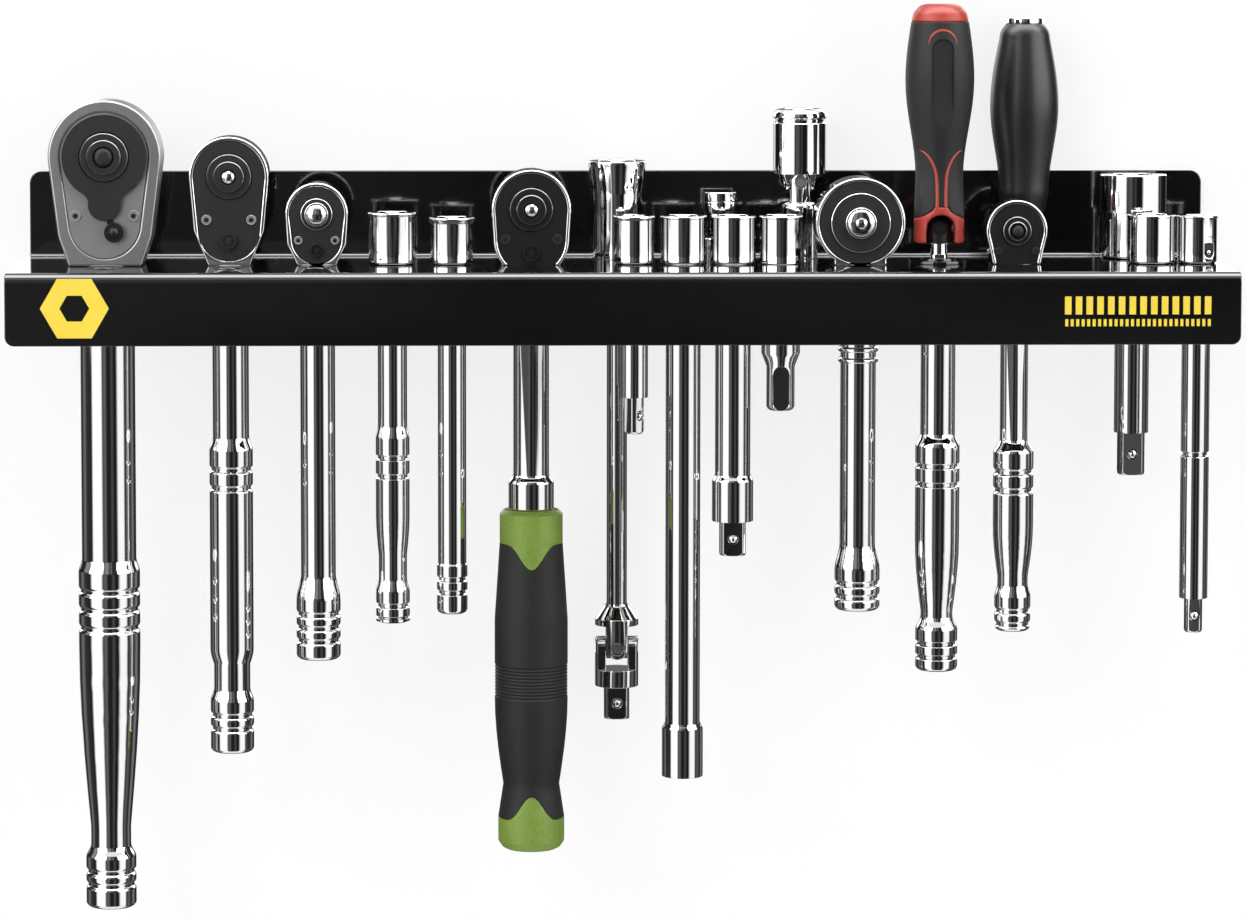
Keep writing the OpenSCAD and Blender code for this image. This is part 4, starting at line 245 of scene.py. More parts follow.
# %% Reflector ring
ring_r = 1.8
ring_low, ring_high = -3.0, 1.2
shafts_end, heads_start, grips_start, grips_full = -0.2, -0.16, -0.02, 0.01
panel = 1.35
grip_panel = 3 * panel
head_row = [
    (-180, 0.05), (-170, 0.05), (-166, 0.8), (-142, 0.8), (-136, 0.01), (-106, 0.01), (-100, 0.1), (-86, 0.1),
    (-80, 0.03), (-74, panel), (-29, panel), (-23, 0.02), (-15, 0.1), (-5, 0.08), (-1, 0.01), (6, 0.06), (12, 0.01),
    (28, 0.01), (35, panel), (84, panel), (90, 0.02), (98, 0.1), (104, 0.01), (134, 0.01), (140, 0.8), (166, 0.8),
    (172, 0.05),
]
shaft_row = [
    (-180, 0.03), (-166, 0.04), (-158, 0.22), (-150, 0.22), (-142, 0.03), (-128, 0.03), (-118, 0.16), (-108, 0.16),
    (-98, 0.04), (-72, 0.02), (-64, panel), (-32, panel), (-25, 0.07), (-15, 0.15), (-7, 0.02), (4, 0.015), (14, 0.08),
    (22, 0.015), (32, 0.015), (42, 1.2), (66, 1.2), (74, 0.02), (88, 0.13), (100, 0.05), (112, 0.02), (122, 0.2),
    (132, 0.2), (142, 0.03), (172, 0.03),
]


def ring_finish():
    made, tree, out = blank("reflector_panels")
    coords = wire(tree, "ShaderNodeTexCoord").outputs["Object"]
    place = wire(tree, "ShaderNodeSeparateXYZ", {0: coords})
    ahead = math(tree, "MULTIPLY", place.outputs["Y"], -1.0)
    turn = wire(tree, "ShaderNodeMath", {0: place.outputs["X"], 1: ahead}, operation="ARCTAN2").outputs[0]
    round_share = math(tree, "ADD", math(tree, "MULTIPLY", turn, 1 / (2 * pi)), 0.5)

    def row(stops):
        ramp = wire(tree, "ShaderNodeValToRGB", {0: round_share})
        band = ramp.color_ramp
        band.elements[0].position = 0.0
        band.elements[1].position = 1.0
        for angle, level in stops:
            stop = band.elements.new((angle + 180) / 360)
            stop.color = (*[level / panel] * 3, 1)
        for end, level in ((band.elements[0], stops[0][1]), (band.elements[-1], stops[-1][1])):
            end.color = (*[level / panel] * 3, 1)
        return ramp.outputs["Color"]

    rise = wire(tree, "ShaderNodeMapRange", {0: place.outputs["Z"], 1: shafts_end, 2: heads_start}).outputs[0]
    level = wire(tree, "ShaderNodeMix", {0: rise, 6: row(shaft_row), 7: row(head_row)}, data_type="RGBA").outputs[2]
    power = wire(tree, "ShaderNodeMapRange", {
        0: place.outputs["Z"], 1: grips_start, 2: grips_full, 3: panel, 4: grip_panel})
    glow = wire(tree, "ShaderNodeEmission", {"Color": level, "Strength": power.outputs[0]})
    tree.links.new(glow.outputs[0], out.inputs["Surface"])
    return made


def only_mirrored(made):
    """Seen by mirror-like rays alone: not by the camera, and it lights nothing."""
    made.visible_camera = False
    made.visible_diffuse = False
    made.visible_shadow = False


steps = 180
rim = [(ring_r * sin(2 * pi * k / steps), -ring_r * cos(2 * pi * k / steps)) for k in range(steps)]
ring_mesh = bpy.data.meshes.new("reflector_ring")
ring_mesh.from_pydata(
    [(x, y, ring_low) for x, y in rim] + [(x, y, ring_high) for x, y in rim], [],
    [(k, (k + 1) % steps, steps + (k + 1) % steps, steps + k) for k in range(steps)])
ring_mesh.materials.append(ring_finish())
reflector = bpy.data.objects.new("reflector_ring", ring_mesh)
scene.collection.objects.link(reflector)
only_mirrored(reflector)
print("reflector ring, radius", ring_r, "m")

# %% [markdown]
# ## Reflector strip
# The photo has one long bright line along the bend of the lip. Gloss paint mirrors little, so that line needs a strong
# strip straight above. Like the ring, it is seen only in reflections.

# %% Reflector strip
strip_glow, tree, out = blank("strip_glow")
coords = wire(tree, "ShaderNodeTexCoord").outputs["Object"]
cloud = wire(tree, "ShaderNodeTexNoise", {"Vector": coords, "Scale": 3.0}).outputs["Fac"]
strip_dim, strip_bright = 8.2, 8.8
even = wire(tree, "ShaderNodeMapRange", {0: cloud, 3: strip_dim, 4: strip_bright}).outputs[0]
glow = wire(tree, "ShaderNodeEmission", {"Color": (1, 1, 1, 1), "Strength": even})
tree.links.new(glow.outputs[0], out.inputs["Surface"])
strip_z, strip_half, strip_front, strip_back = 1.15, 1.5, -0.6, 0.2
strip = sheet_of("strip_above", [
    (-strip_half, strip_front, strip_z), (-strip_half, strip_back, strip_z),
    (strip_half, strip_back, strip_z), (strip_half, strip_front, strip_z)], strip_glow)
only_mirrored(strip)
print("strip", strip.name)

# %% [markdown]
# ## Finishes
# Each finish is one shader with a slow cloud of noise for its tone, and a fine one for its polish and its tiny bumps.
# The noise reads Object coordinates, so it keeps its scale in millimetres on every tool. `stretch` draws the grain out
# along one axis, as polishing or grinding does, and `specks` scatters small dark flecks, as in filled plastic.

# %% Finish builder
def finish(name, dark, light, polish, grain, depth, metal=0.0, stretch=(1, 1, 1), cloud=90.0, level=0.5, specks=0.0):
    """dark, light: tones; polish: lowest and highest roughness; grain: per metre; depth: bump height in metres."""
    made, tree, out = blank(name)
    coords = wire(tree, "ShaderNodeTexCoord").outputs["Object"]
    drawn = wire(tree, "ShaderNodeMapping", {"Vector": coords, "Scale": stretch}).outputs[0]
    slow = wire(tree, "ShaderNodeTexNoise", {"Vector": coords, "Scale": cloud, "Detail": 3.0}).outputs["Fac"]
    fine = wire(tree, "ShaderNodeTexNoise", {"Vector": drawn, "Scale": grain, "Detail": 4.0}).outputs["Fac"]
    tone = wire(tree, "ShaderNodeMix", {0: slow, 6: (*dark, 1), 7: (*light, 1)}, data_type="RGBA").outputs[2]
    if specks:
        fleck = wire(tree, "ShaderNodeTexVoronoi", {"Vector": coords, "Scale": 1400.0}).outputs["Distance"]
        spot = wire(tree, "ShaderNodeMapRange", {0: fleck, 1: 0.12, 2: 0.3, 3: specks, 4: 0.0}).outputs[0]
        deep = (*[c * 0.25 for c in dark], 1)
        tone = wire(tree, "ShaderNodeMix", {0: spot, 6: tone, 7: deep}, data_type="RGBA").outputs[2]
    rough = wire(tree, "ShaderNodeMapRange", {0: fine, 1: 0.3, 2: 0.7, 3: polish[0], 4: polish[1]}).outputs[0]
    bump = wire(tree, "ShaderNodeBump", {"Height": fine, "Strength": 1.0, "Distance": depth}).outputs[0]
    face = wire(tree, "ShaderNodeBsdfPrincipled", {
        "Base Color": tone, "Roughness": rough, "Normal": bump, "Metallic": metal, "Specular IOR Level": level})
    tree.links.new(face.outputs[0], out.inputs["Surface"])
    return made


def grey(level):
    return (level, level, level)


chrome = finish("polished_chrome", grey(0.74), grey(0.82), (0.03, 0.07), 1500, 2e-8, 1.0, (1, 1, 0.05))
satin = finish("satin_steel", grey(0.27), grey(0.35), (0.46, 0.54), 5000, 2e-6, 1.0)
forged = finish("forged_satin_chrome", grey(0.36), grey(0.44), (0.34, 0.40), 4000, 1.2e-6, 1.0)
charcoal = finish("charcoal_plate", grey(0.012), grey(0.020), (0.42, 0.56), 5200, 5e-6, level=0.28)
jet = finish("black_plate", grey(0.005), grey(0.009), (0.35, 0.5), 5200, 4e-6, level=0.3)
gunmetal = finish("dark_turned_steel", grey(0.20), grey(0.28), (0.22, 0.3), 3000, 1e-6, 1.0)
coat = finish("gloss_black_coat", grey(0.004), grey(0.007), (0.05, 0.08), 1400, 4e-7, level=1.0)
print("metal finishes:", [m.name for m in (chrome, satin, forged, gunmetal, charcoal, jet, coat)])

# %% [markdown]
# ## Dressing a CAD solid
# A CAD solid has knife edges, and real steel never does: the thin bright line along an edge is what makes metal look
# solid. Each node is copied, its loose triangles are merged, its flat faces joined, and its outer edges get a small
# bevel. Weighted normals then keep the flat faces flat. A rule on a face's corners can give part of it another finish.

# %% Dressing helper
def plain_mesh(made):
    """Keeps what the modifiers make as the object's own mesh, and takes the modifiers away."""
    kept = bpy.data.meshes.new_from_object(made.evaluated_get(bpy.context.evaluated_depsgraph_get()))
    made.modifiers.clear()
    made.data = kept


def soften(shape, edges, size, steps):
    bmesh.ops.bevel(shape, geom=edges, offset=size * mm, offset_type="OFFSET", segments=steps, profile=0.5,
                    affect="EDGES", clamp_overlap=False, loop_slide=True)


shelf_top = -17.0


def dress(node, *finishes, edge=0.18, steps=2, foot=0.0, convex=False, pick=None):
    """A finished copy of a CAD node. An edge of 0 is for flat plates. foot is the rounding where a head stands on the
    shelf. convex cuts hollow outlines, such as a thin rim, into simple faces first. pick(corners in mm) gives a face
    the number of one of its finishes."""
    source = frame["nodes"][node]
    shape = bmesh.new()
    corners = [shape.verts.new(v.co) for v in source.data.vertices]
    for face in source.data.polygons:
        shape.faces.new([corners[k] for k in face.vertices])
    bmesh.ops.remove_doubles(shape, verts=shape.verts, dist=2e-6)
    bmesh.ops.dissolve_degenerate(shape, edges=shape.edges, dist=1e-6)
    if edge:
        bmesh.ops.dissolve_limit(shape, angle_limit=radians(0.05), verts=shape.verts, edges=shape.edges)
        if convex:
            bmesh.ops.connect_verts_concave(shape, faces=shape.faces)
        outer = [e for e in shape.edges if e.is_manifold and e.calc_face_angle_signed(0) > radians(28)]
        if foot:
            low_ring = [e for e in outer if all(abs(v.co.z / mm - shelf_top) < 0.15 for v in e.verts)]
            soften(shape, low_ring, foot, 5)
            outer = [e for e in shape.edges if e.is_manifold and e.calc_face_angle_signed(0) > radians(28)]
        soften(shape, outer, edge, steps)
    for face in shape.faces:
        face.smooth = edge > 0
        if pick:
            face.material_index = pick([v.co / mm for v in face.verts])
    for e in shape.edges:
        e.smooth = e.calc_face_angle(0) < radians(40)
    mesh = bpy.data.meshes.new(node + "_finished")
    shape.to_mesh(mesh)
    shape.free()
    for each in finishes:
        mesh.materials.append(each)
    made = bpy.data.objects.new(node + "_finished", mesh)
    scene.collection.objects.link(made)
    if edge:
        made.modifiers.new("flat faces", "WEIGHTED_NORMAL").keep_sharp = True
        plain_mesh(made)
    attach(made, body_of(source)[0])
    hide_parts(node)
    return made


def report(title, made):
    print(title, sum(len(o.data.polygons) for o in made), "faces in", len(made), "pieces")


# %% [markdown]
# ## The rack
# One sheet of steel, bent three times and powder coated in gloss black. Its looks are all in the bends: the long
# highlight on the lip's upper edge comes from the CAD bend itself, so a dressed copy is enough.

# %% Rack
rack_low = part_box("rack_shelf")[0]
rack = dress("rack_shelf", coat, edge=0.4, steps=3)
rack_body = body_of(frame["nodes"]["rack_shelf"])[0]
report("rack", [rack])

# %% [markdown]
# ## Recipes
# What repeats is worth a recipe: a small Geometry Nodes tree with named inputs. It runs once for each place, and the
# result is kept as plain mesh.

# %% Recipe helpers
def recipe(name, sockets):
    """A new Geometry Nodes tree with named inputs. Gives the tree and its inputs."""
    tree = bpy.data.node_groups.new(name, "GeometryNodeTree")
    tree.interface.new_socket("Geometry", in_out="OUTPUT", socket_type="NodeSocketGeometry")
    for label, kind in sockets.items():
        tree.interface.new_socket(label, in_out="INPUT", socket_type="NodeSocket" + kind)
    return tree, tree.nodes.new("NodeGroupInput").outputs


def grow(tree, name, body, values):
    """Runs a recipe with its inputs set, and keeps the result as a plain mesh that rides on a body."""
    made = bpy.data.objects.new(name, bpy.data.meshes.new(name))
    scene.collection.objects.link(made)
    run = made.modifiers.new("recipe", "NODES")
    run.node_group = tree
    for item in tree.interface.items_tree:
        if item.in_out == "INPUT":
            run[item.identifier] = values[item.name]
    plain_mesh(made)
    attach(made, body)
    return made


print("recipes ready")

# %% [markdown]
# ## Plain marks on the lip
# The lip carries yellow print at both ends. Here the left place has a plain hexagon with a hexagon hole, as a nut
# looks from above, and the right place two rows of plain bars. The bars come from a recipe: a line of points, one thin
# bar on each. The hexagon is drawn point by point, because it stands alone.

# %% Plain marks
yellow = finish("yellow_print", (0.82, 0.60, 0.03), (0.90, 0.68, 0.06), (0.4, 0.5), 3000, 1e-6)
film = 0.04 * mm
print_y = rack_low[1] - film / 2

tree, given = recipe("bar_row", {
    "First": "Vector", "Step": "Vector", "Count": "Int", "Size": "Vector", "Finish": "Material"})
line = wire(tree, "GeometryNodeMeshLine", {
    "Count": given["Count"], "Start Location": given["First"], "Offset": given["Step"]}, mode="OFFSET")
bar = wire(tree, "GeometryNodeMeshCube", {"Size": given["Size"]})
placed = wire(tree, "GeometryNodeInstanceOnPoints", {"Points": line.outputs[0], "Instance": bar.outputs[0]})
solid = wire(tree, "GeometryNodeRealizeInstances", {0: placed.outputs[0]})
done = wire(tree, "GeometryNodeSetMaterial", {"Geometry": solid.outputs[0], "Material": given["Finish"]})
wire(tree, "NodeGroupOutput", {0: done.outputs[0]})

marks = []
for name, first_x, last_x, z, count, wide, tall in (
        ("upper_marks", 161.5, 212.5, -29.1, 14, 2.4, 6.6), ("lower_marks", 161.0, 213.0, -35.4, 27, 1.1, 2.6)):
    marks.append(grow(tree, name, rack_body, {
        "First": (first_x * mm, print_y, z * mm), "Step": ((last_x - first_x) / (count - 1) * mm, 0, 0),
        "Count": count, "Size": (wide * mm, film, tall * mm), "Finish": yellow}))

badge_x, badge_z, badge_r, badge_hole = -199.4, -29.7, 12.5, 5.4
hexagon = [(badge_r * cos(pi * k / 3), badge_r * sin(pi * k / 3)) for k in range(6)]
inner = [(badge_hole * cos(pi * k / 3), badge_hole * sin(pi * k / 3)) for k in range(6)]
spots = [((badge_x + x) * mm, rack_low[1] - film, (badge_z + z) * mm) for x, z in hexagon + inner]
backs = [(x, rack_low[1], z) for x, y, z in spots]
rings = []
for k in range(6):
    j = (k + 1) % 6
    rings += [(k, j, 6 + j, 6 + k), (12 + k, 18 + k, 18 + j, 12 + j),
              (k, 12 + k, 12 + j, j), (6 + k, 6 + j, 18 + j, 18 + k)]
badge_mesh = bpy.data.meshes.new("plain_badge")
badge_mesh.from_pydata(spots + backs, [], rings)
badge_mesh.materials.append(yellow)
badge = bpy.data.objects.new("plain_badge", badge_mesh)
scene.collection.objects.link(badge)
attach(badge, rack_body)
report("marks", marks + [badge])

# %% [markdown]
# ## Head screws
# Each ratchet cover is held by two small screws with a hexagon socket. A recipe makes one screw, a flat head with a
# rounded bright rim, and puts it on two points. The socket is not cut: a black hexagon on the head is painted shade
# where the recess would be. Five ratchets use it, each with its own size.

# %% Head screws
tree, given = recipe("socket_screws", {
    "First": "Vector", "Apart": "Vector", "Rim": "Float", "Head": "Float", "Socket": "Float", "Height": "Float",
    "Steel": "Material", "Painted Shade": "Material"})
edge_ring = wire(tree, "GeometryNodeCurvePrimitiveCircle", {"Resolution": 32, "Radius": given["Head"]})
edge_round = wire(tree, "GeometryNodeCurvePrimitiveCircle", {"Resolution": 10, "Radius": given["Rim"]})
edge_bead = wire(tree, "GeometryNodeCurveToMesh", {0: edge_ring.outputs[0], 1: edge_round.outputs[0]})
disc = wire(tree, "GeometryNodeMeshCylinder", {"Vertices": 32, "Radius": given["Head"], "Depth": given["Height"]})
# The socket is not cut: this black hexagon, a hair taller than the head, is painted shade for the recess.
socket = wire(tree, "GeometryNodeMeshCylinder", {
    "Vertices": 6, "Radius": given["Socket"], "Depth": math(tree, "ADD", given["Height"], 0.06 * mm)})
marked = wire(tree, "GeometryNodeStoreNamedAttribute", {0: socket.outputs[0], "Name": "dark", "Value": True},
              data_type="BOOLEAN", domain="FACE")
screw = wire(tree, "GeometryNodeJoinGeometry")
for piece in (edge_bead, disc, marked):
    tree.links.new(piece.outputs[0], screw.inputs[0])
line = wire(tree, "GeometryNodeMeshLine", {
    "Count": 2, "Start Location": given["First"], "Offset": given["Apart"]}, mode="OFFSET")
placed = wire(tree, "GeometryNodeInstanceOnPoints", {
    "Points": line.outputs[0], "Instance": screw.outputs[0], "Rotation": (pi / 2, 0, 0)})
solid = wire(tree, "GeometryNodeRealizeInstances", {0: placed.outputs[0]})
steel = wire(tree, "GeometryNodeSetMaterial", {"Geometry": solid.outputs[0], "Material": given["Steel"]})
dark = wire(tree, "GeometryNodeInputNamedAttribute", {"Name": "dark"}, data_type="BOOLEAN")
done = wire(tree, "GeometryNodeSetMaterial", {
    "Geometry": steel.outputs[0], "Selection": dark.outputs[0], "Material": given["Painted Shade"]})
wire(tree, "NodeGroupOutput", {0: done.outputs[0]})
screw_recipe = tree


def head_screws(node, steel):
    low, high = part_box(node)
    rim = 0.22 * mm
    r = (high[2] - low[2]) / 2
    made = grow(screw_recipe, node + "_finished", body_of(frame["nodes"][node])[0], {
        "First": (low[0] + r, low[1] + 0.3 * mm, (low[2] + high[2]) / 2), "Apart": (high[0] - low[0] - 2 * r, 0, 0),
        "Rim": rim, "Head": r - rim, "Socket": r * 0.5, "Height": 0.36 * mm, "Steel": steel, "Painted Shade": jet})
    for face in made.data.polygons:
        face.use_smooth = True
    made.data.set_sharp_from_angle(angle=radians(35))
    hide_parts(node)
    return made


print("screw recipe with", len(screw_recipe.nodes), "nodes")

# %% [markdown]
# ## Knobs
# Two ratchets have a polished knob in the middle of the drive. A flat face would mirror only the dark camera side, so
# the knob is a low dome, which gathers the whole room. One recipe serves both: a ball, flattened along its axis.

# %% Knob recipe
tree, given = recipe("low_dome", {"Middle": "Vector", "Radius": "Float", "Height": "Float", "Finish": "Material"})
ball = wire(tree, "GeometryNodeMeshUVSphere", {"Segments": 48, "Rings": 24, "Radius": 1.0})
point = wire(tree, "GeometryNodePoints", {"Count": 1, "Position": given["Middle"]})
squeeze = wire(tree, "ShaderNodeCombineXYZ", {0: given["Radius"], 1: given["Height"], 2: given["Radius"]})
placed = wire(tree, "GeometryNodeInstanceOnPoints", {
    "Points": point.outputs[0], "Instance": ball.outputs[0], "Scale": squeeze.outputs[0]})
solid = wire(tree, "GeometryNodeRealizeInstances", {0: placed.outputs[0]})
smooth = wire(tree, "GeometryNodeSetShadeSmooth", {0: solid.outputs[0]})
done = wire(tree, "GeometryNodeSetMaterial", {"Geometry": smooth.outputs[0], "Material": given["Finish"]})
wire(tree, "NodeGroupOutput", {0: done.outputs[0]})
dome_recipe = tree


def knob(node, radius, height):
    """A dome on the front of a drive, sunk a little into its boss."""
    low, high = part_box(node)
    made = grow(dome_recipe, node + "_knob", body_of(frame["nodes"][node])[0], {
        "Middle": ((low[0] + high[0]) / 2, low[1] + 0.1 * mm, (low[2] + high[2]) / 2),
        "Radius": radius * mm, "Height": height * mm, "Finish": chrome})
    return made


print("knob recipe with", len(dome_recipe.nodes), "nodes")

# %% [markdown]
# ## Large ratchet
# The head and the handle are one forging. The head is bead-blasted to a satin grey, and the handle below the shelf is
# polished. A satin cover lies in the rim, and a dark keyhole plate sits on it. The turned edges of the hub are bare.

# %% Large ratchet
def head_or_shaft(corners):
    return 0 if max(c.z for c in corners) > shelf_top + 0.1 else 1


def hub(node, *bright):
    """Picks finish 1 for the drive square behind the head and for rings round the hub, each from r to r in mm."""
    low, high = [corner / mm for corner in map(Vector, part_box(node))]
    x, z = (low.x + high.x) / 2, (low.z + high.z) / 2
    rear = low.y + 0.55 * (high.y - low.y)

    def pick(corners):
        if min(c.y for c in corners) > rear:
            return 1
        spread = [hypot(c.x - x, c.z - z) for c in corners]
        return int(any(a <= min(spread) and max(spread) <= b for a, b in bright))

    return pick


large = [
    dress("large_ratchet_handle", forged, chrome, edge=0.9, steps=4, pick=head_or_shaft),
    dress("large_ratchet_cover", satin, edge=0),
    dress("large_ratchet_face", charcoal, edge=0.3),
    dress("large_ratchet_drive", charcoal, gunmetal, edge=0.75, steps=5,
          pick=hub("large_ratchet_drive", (8.6, 9.1), (6.1, 6.6))),
    dress("large_ratchet_button", charcoal, edge=0.9, steps=4),
    dress("large_ratchet_lever", jet, edge=0.1),
    head_screws("large_ratchet_screws", satin),
]
report("large ratchet", large)

# %% [markdown]
# ## Medium and small ratchets
# The same tool in two smaller sizes, chromed all over. The rim round the dark cover is only 1.7 mm wide, so its two
# edges are rounded until they almost meet: that is what gives the white, dark, white line round each head.

# %% Medium and small ratchets
medium = [
    dress("medium_ratchet_handle", chrome, edge=0.6, steps=4, convex=True),
    dress("medium_ratchet_cover", charcoal, edge=0),
    dress("medium_ratchet_drive", charcoal, gunmetal, edge=0.7, steps=5,
          pick=hub("medium_ratchet_drive", (8.0, 8.5), (5.4, 5.9))),
    dress("medium_ratchet_button", chrome, edge=1.2, steps=5),
    dress("medium_ratchet_selector", charcoal, edge=0.1),
    head_screws("medium_ratchet_screws", satin),
]
small = [
    dress("small_ratchet_handle", chrome, edge=0.7, steps=4),
    dress("small_ratchet_cover", charcoal, edge=0),
    dress("small_ratchet_drive", charcoal, chrome, edge=0.3, steps=3,
          pick=hub("small_ratchet_drive", (0, 4.5), (5.55, 6.0))),
    knob("small_ratchet_drive", 3.7, 1.7),
    dress("small_ratchet_selector", jet, edge=0.1),
    head_screws("small_ratchet_screws", satin),
]
report("medium ratchet", medium)
report("small ratchet", small)

# %% [markdown]
# ## Plain bars and extensions
# Turned and chromed bars with a square socket on the shelf. The lathe leaves crisp shoulders, so their edges are only
# just broken, and only the foot of each head is well rounded, which leaves a dark line above the shelf. The handle
# under the red driver has a flange that is painted like the rack.

# %% Plain bars and extensions
heads = {"shaped_bar": 1.1, "plain_bar": 1.1, "short_extension": 1.1, "long_socket_bar": 1.1, "medium_extension": 1.1,
         "stub_extension": 0.45, "slim_extension": 1.1, "plain_socket": 1.1, "large_adapter": 1.1}
bars = [dress(node, chrome, edge=0.2, foot=foot) for node, foot in heads.items()]
bars += [dress(node, chrome, edge=0.2) for node in ("locking_extension", "locking_collar")]
bars.append(dress("socket_handle", coat, chrome, edge=0.2, pick=head_or_shaft))
report("bars", bars)

# %% [markdown]
# ## Swivel bar and universal joint
# Two forks and a cross make a joint that bends both ways. The forks are chromed, and the cross is plain satin steel.

# %% Swivel bar and universal joint
joints = [dress(node, chrome, edge=0.25, steps=3) for node in (
    "swivel_bar", "swivel_tip", "universal_joint_base", "universal_joint_cup")]
joints += [dress(node, satin, edge=0.1) for node in ("swivel_spider", "universal_joint_spider")]
report("joints", joints)

# %% [markdown]
# ## Cushioned ratchet
# A chromed head and shaft in a two-part grip: a green core that shows at both ends, and a black soft sleeve over its
# middle. The green plastic has fine dark flecks, and the sleeve is duller than anything else on the rack.

# %% Cushioned ratchet
green = finish("green_plastic", (0.13, 0.22, 0.022), (0.22, 0.33, 0.04), (0.35, 0.5), 3000, 3e-6, specks=0.85)
rubber = finish("black_rubber", grey(0.009), grey(0.015), (0.5, 0.62), 4200, 6e-6, level=0.3)
cushioned = [
    dress("grip_ratchet_handle", chrome, edge=0.75, steps=4),
    dress("grip_ratchet_cover", jet, edge=0),
    dress("grip_ratchet_drive", jet, gunmetal, edge=0.7, steps=5,
          pick=hub("grip_ratchet_drive", (7.7, 8.2), (5.2, 5.7))),
    dress("grip_ratchet_button", chrome, edge=1.2, steps=5),
    dress("grip_ratchet_selector", jet, edge=0.1),
    head_screws("grip_ratchet_screws", charcoal),
    dress("grip_ratchet_core", green, edge=0.3, steps=3),
    dress("grip_ratchet_sleeve", rubber, edge=0.15),
]
report("cushioned ratchet", cushioned)

# %% [markdown]
# ## Round-head ratchet
# A full round head with a dark face plate. A thin bright circle marks the edge of its drive disc, and the knob in the
# middle is chromed.

# %% Round-head ratchet
round_head = [
    dress("round_ratchet_handle", chrome, edge=0.75, steps=4),
    dress("round_ratchet_face", charcoal, edge=0),
    dress("round_ratchet_drive", charcoal, chrome, edge=0.4, steps=3,
          pick=hub("round_ratchet_drive", (0, 5.9), (10.6, 11.2))),
    knob("round_ratchet_drive", 5.0, 1.2),
    dress("round_ratchet_button", chrome, edge=1.0, steps=4),
]
report("round-head ratchet", round_head)

# %% [markdown]
# ## Short ratchet
# The smallest ratchet, with a nearly black cover and a chromed stub of a handle.

# %% Short ratchet
short = [
    dress("short_ratchet_handle", chrome, edge=0.7, steps=4),
    dress("short_ratchet_cover", jet, edge=0),
    dress("short_ratchet_drive", jet, gunmetal, edge=0.6, steps=4,
          pick=hub("short_ratchet_drive", (5.0, 5.5), (3.2, 3.7))),
    dress("short_ratchet_button", charcoal, edge=0.8, steps=4),
    head_screws("short_ratchet_screws", charcoal),
]
report("short ratchet", short)

# %% [markdown]
# ## Red folding driver
# A red core shows as a cap, as a fork round the knuckle and as thin lines let into the soft black sleeve. The lines are
# laid on the sleeve: each point is sent back from the front until it meets the CAD surface, so a line follows the
# curve of the grip exactly.

# %% Red folding driver
red = finish("red_plastic", (0.40, 0.035, 0.022), (0.50, 0.055, 0.035), (0.32, 0.45), 3000, 3e-6)
dark_sleeve = finish("charcoal_sleeve", grey(0.010), grey(0.015), (0.48, 0.6), 4200, 5e-6, level=0.3)
tip_top = -9.3


def inlay(name, nodes, lines, look, lift=0.12):
    """Rounded beads on the front of some nodes. A line is a list of (x, z, half width) in mm from the first's axis."""
    low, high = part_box(nodes[0])
    axis_x = (low[0] + high[0]) / 2
    spots, sides = [], []
    for node in nodes:
        mesh = frame["nodes"][node].data
        sides += [[len(spots) + k for k in face.vertices] for face in mesh.polygons]
        spots += [v.co for v in mesh.vertices]
    skin = BVHTree.FromPolygons(spots, sides)
    points, faces = [], []
    across = [(-1.0, -0.3), (-1.0, -0.02), (-0.5, 0), (0.0, 0), (0.5, 0), (1.0, -0.02), (1.0, -0.3)]
    loop = len(across)
    for stops in lines:
        start = len(points)
        for k, (x, z, half) in enumerate(stops):
            ahead, back = stops[min(k + 1, len(stops) - 1)], stops[max(k - 1, 0)]
            run = Vector((ahead[0] - back[0], ahead[1] - back[1])).normalized()
            for side, sunk in across:
                spot = Vector((x - run.y * half * side, z + run.x * half * side)) * mm
                hit, normal, *_ = skin.ray_cast(Vector((axis_x + spot.x, -1.0, spot.y)), Vector((0, 1, 0)))
                points.append(hit + normal * (lift * (1 - side ** 2) + sunk) * mm)
        for k in range(len(stops) - 1):
            for s in range(loop):
                a, b = start + loop * k + s, start + loop * k + (s + 1) % loop
                faces.append((a, b, b + loop, a + loop))
        last = start + loop * (len(stops) - 1)
        faces += [tuple(range(start, start + loop))[::-1], tuple(range(last, last + loop))]
    mesh = bpy.data.meshes.new(name)
    shape = bmesh.new()
    mesh.from_pydata(points, [], faces)
    shape.from_mesh(mesh)
    bmesh.ops.recalc_face_normals(shape, faces=shape.faces)
    shape.to_mesh(mesh)
    shape.free()
    mesh.materials.append(look)
    made = bpy.data.objects.new(name, mesh)
    for face in mesh.polygons:
        face.use_smooth = True
    scene.collection.objects.link(made)
    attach(made, body_of(frame["nodes"][nodes[0]])[0])
    mesh.set_sharp_from_angle(angle=radians(50))
    return made


def eased(stops, parts=6):
    """More points between the stops of a line, on a smooth curve through them."""
    made = []
    for k in range(len(stops) - 1):
        four = [stops[min(max(j, 0), len(stops) - 1)] for j in (k - 1, k, k + 1, k + 2)]
        for s in range(parts):
            t = s / parts
            made.append(tuple(
                0.5 * (2 * b + (c - a) * t + (2 * a - 5 * b + 4 * c - d) * t * t + (3 * b - a - 3 * c + d) * t ** 3)
                for a, b, c, d in zip(*four)))
    return made + [stops[-1]]


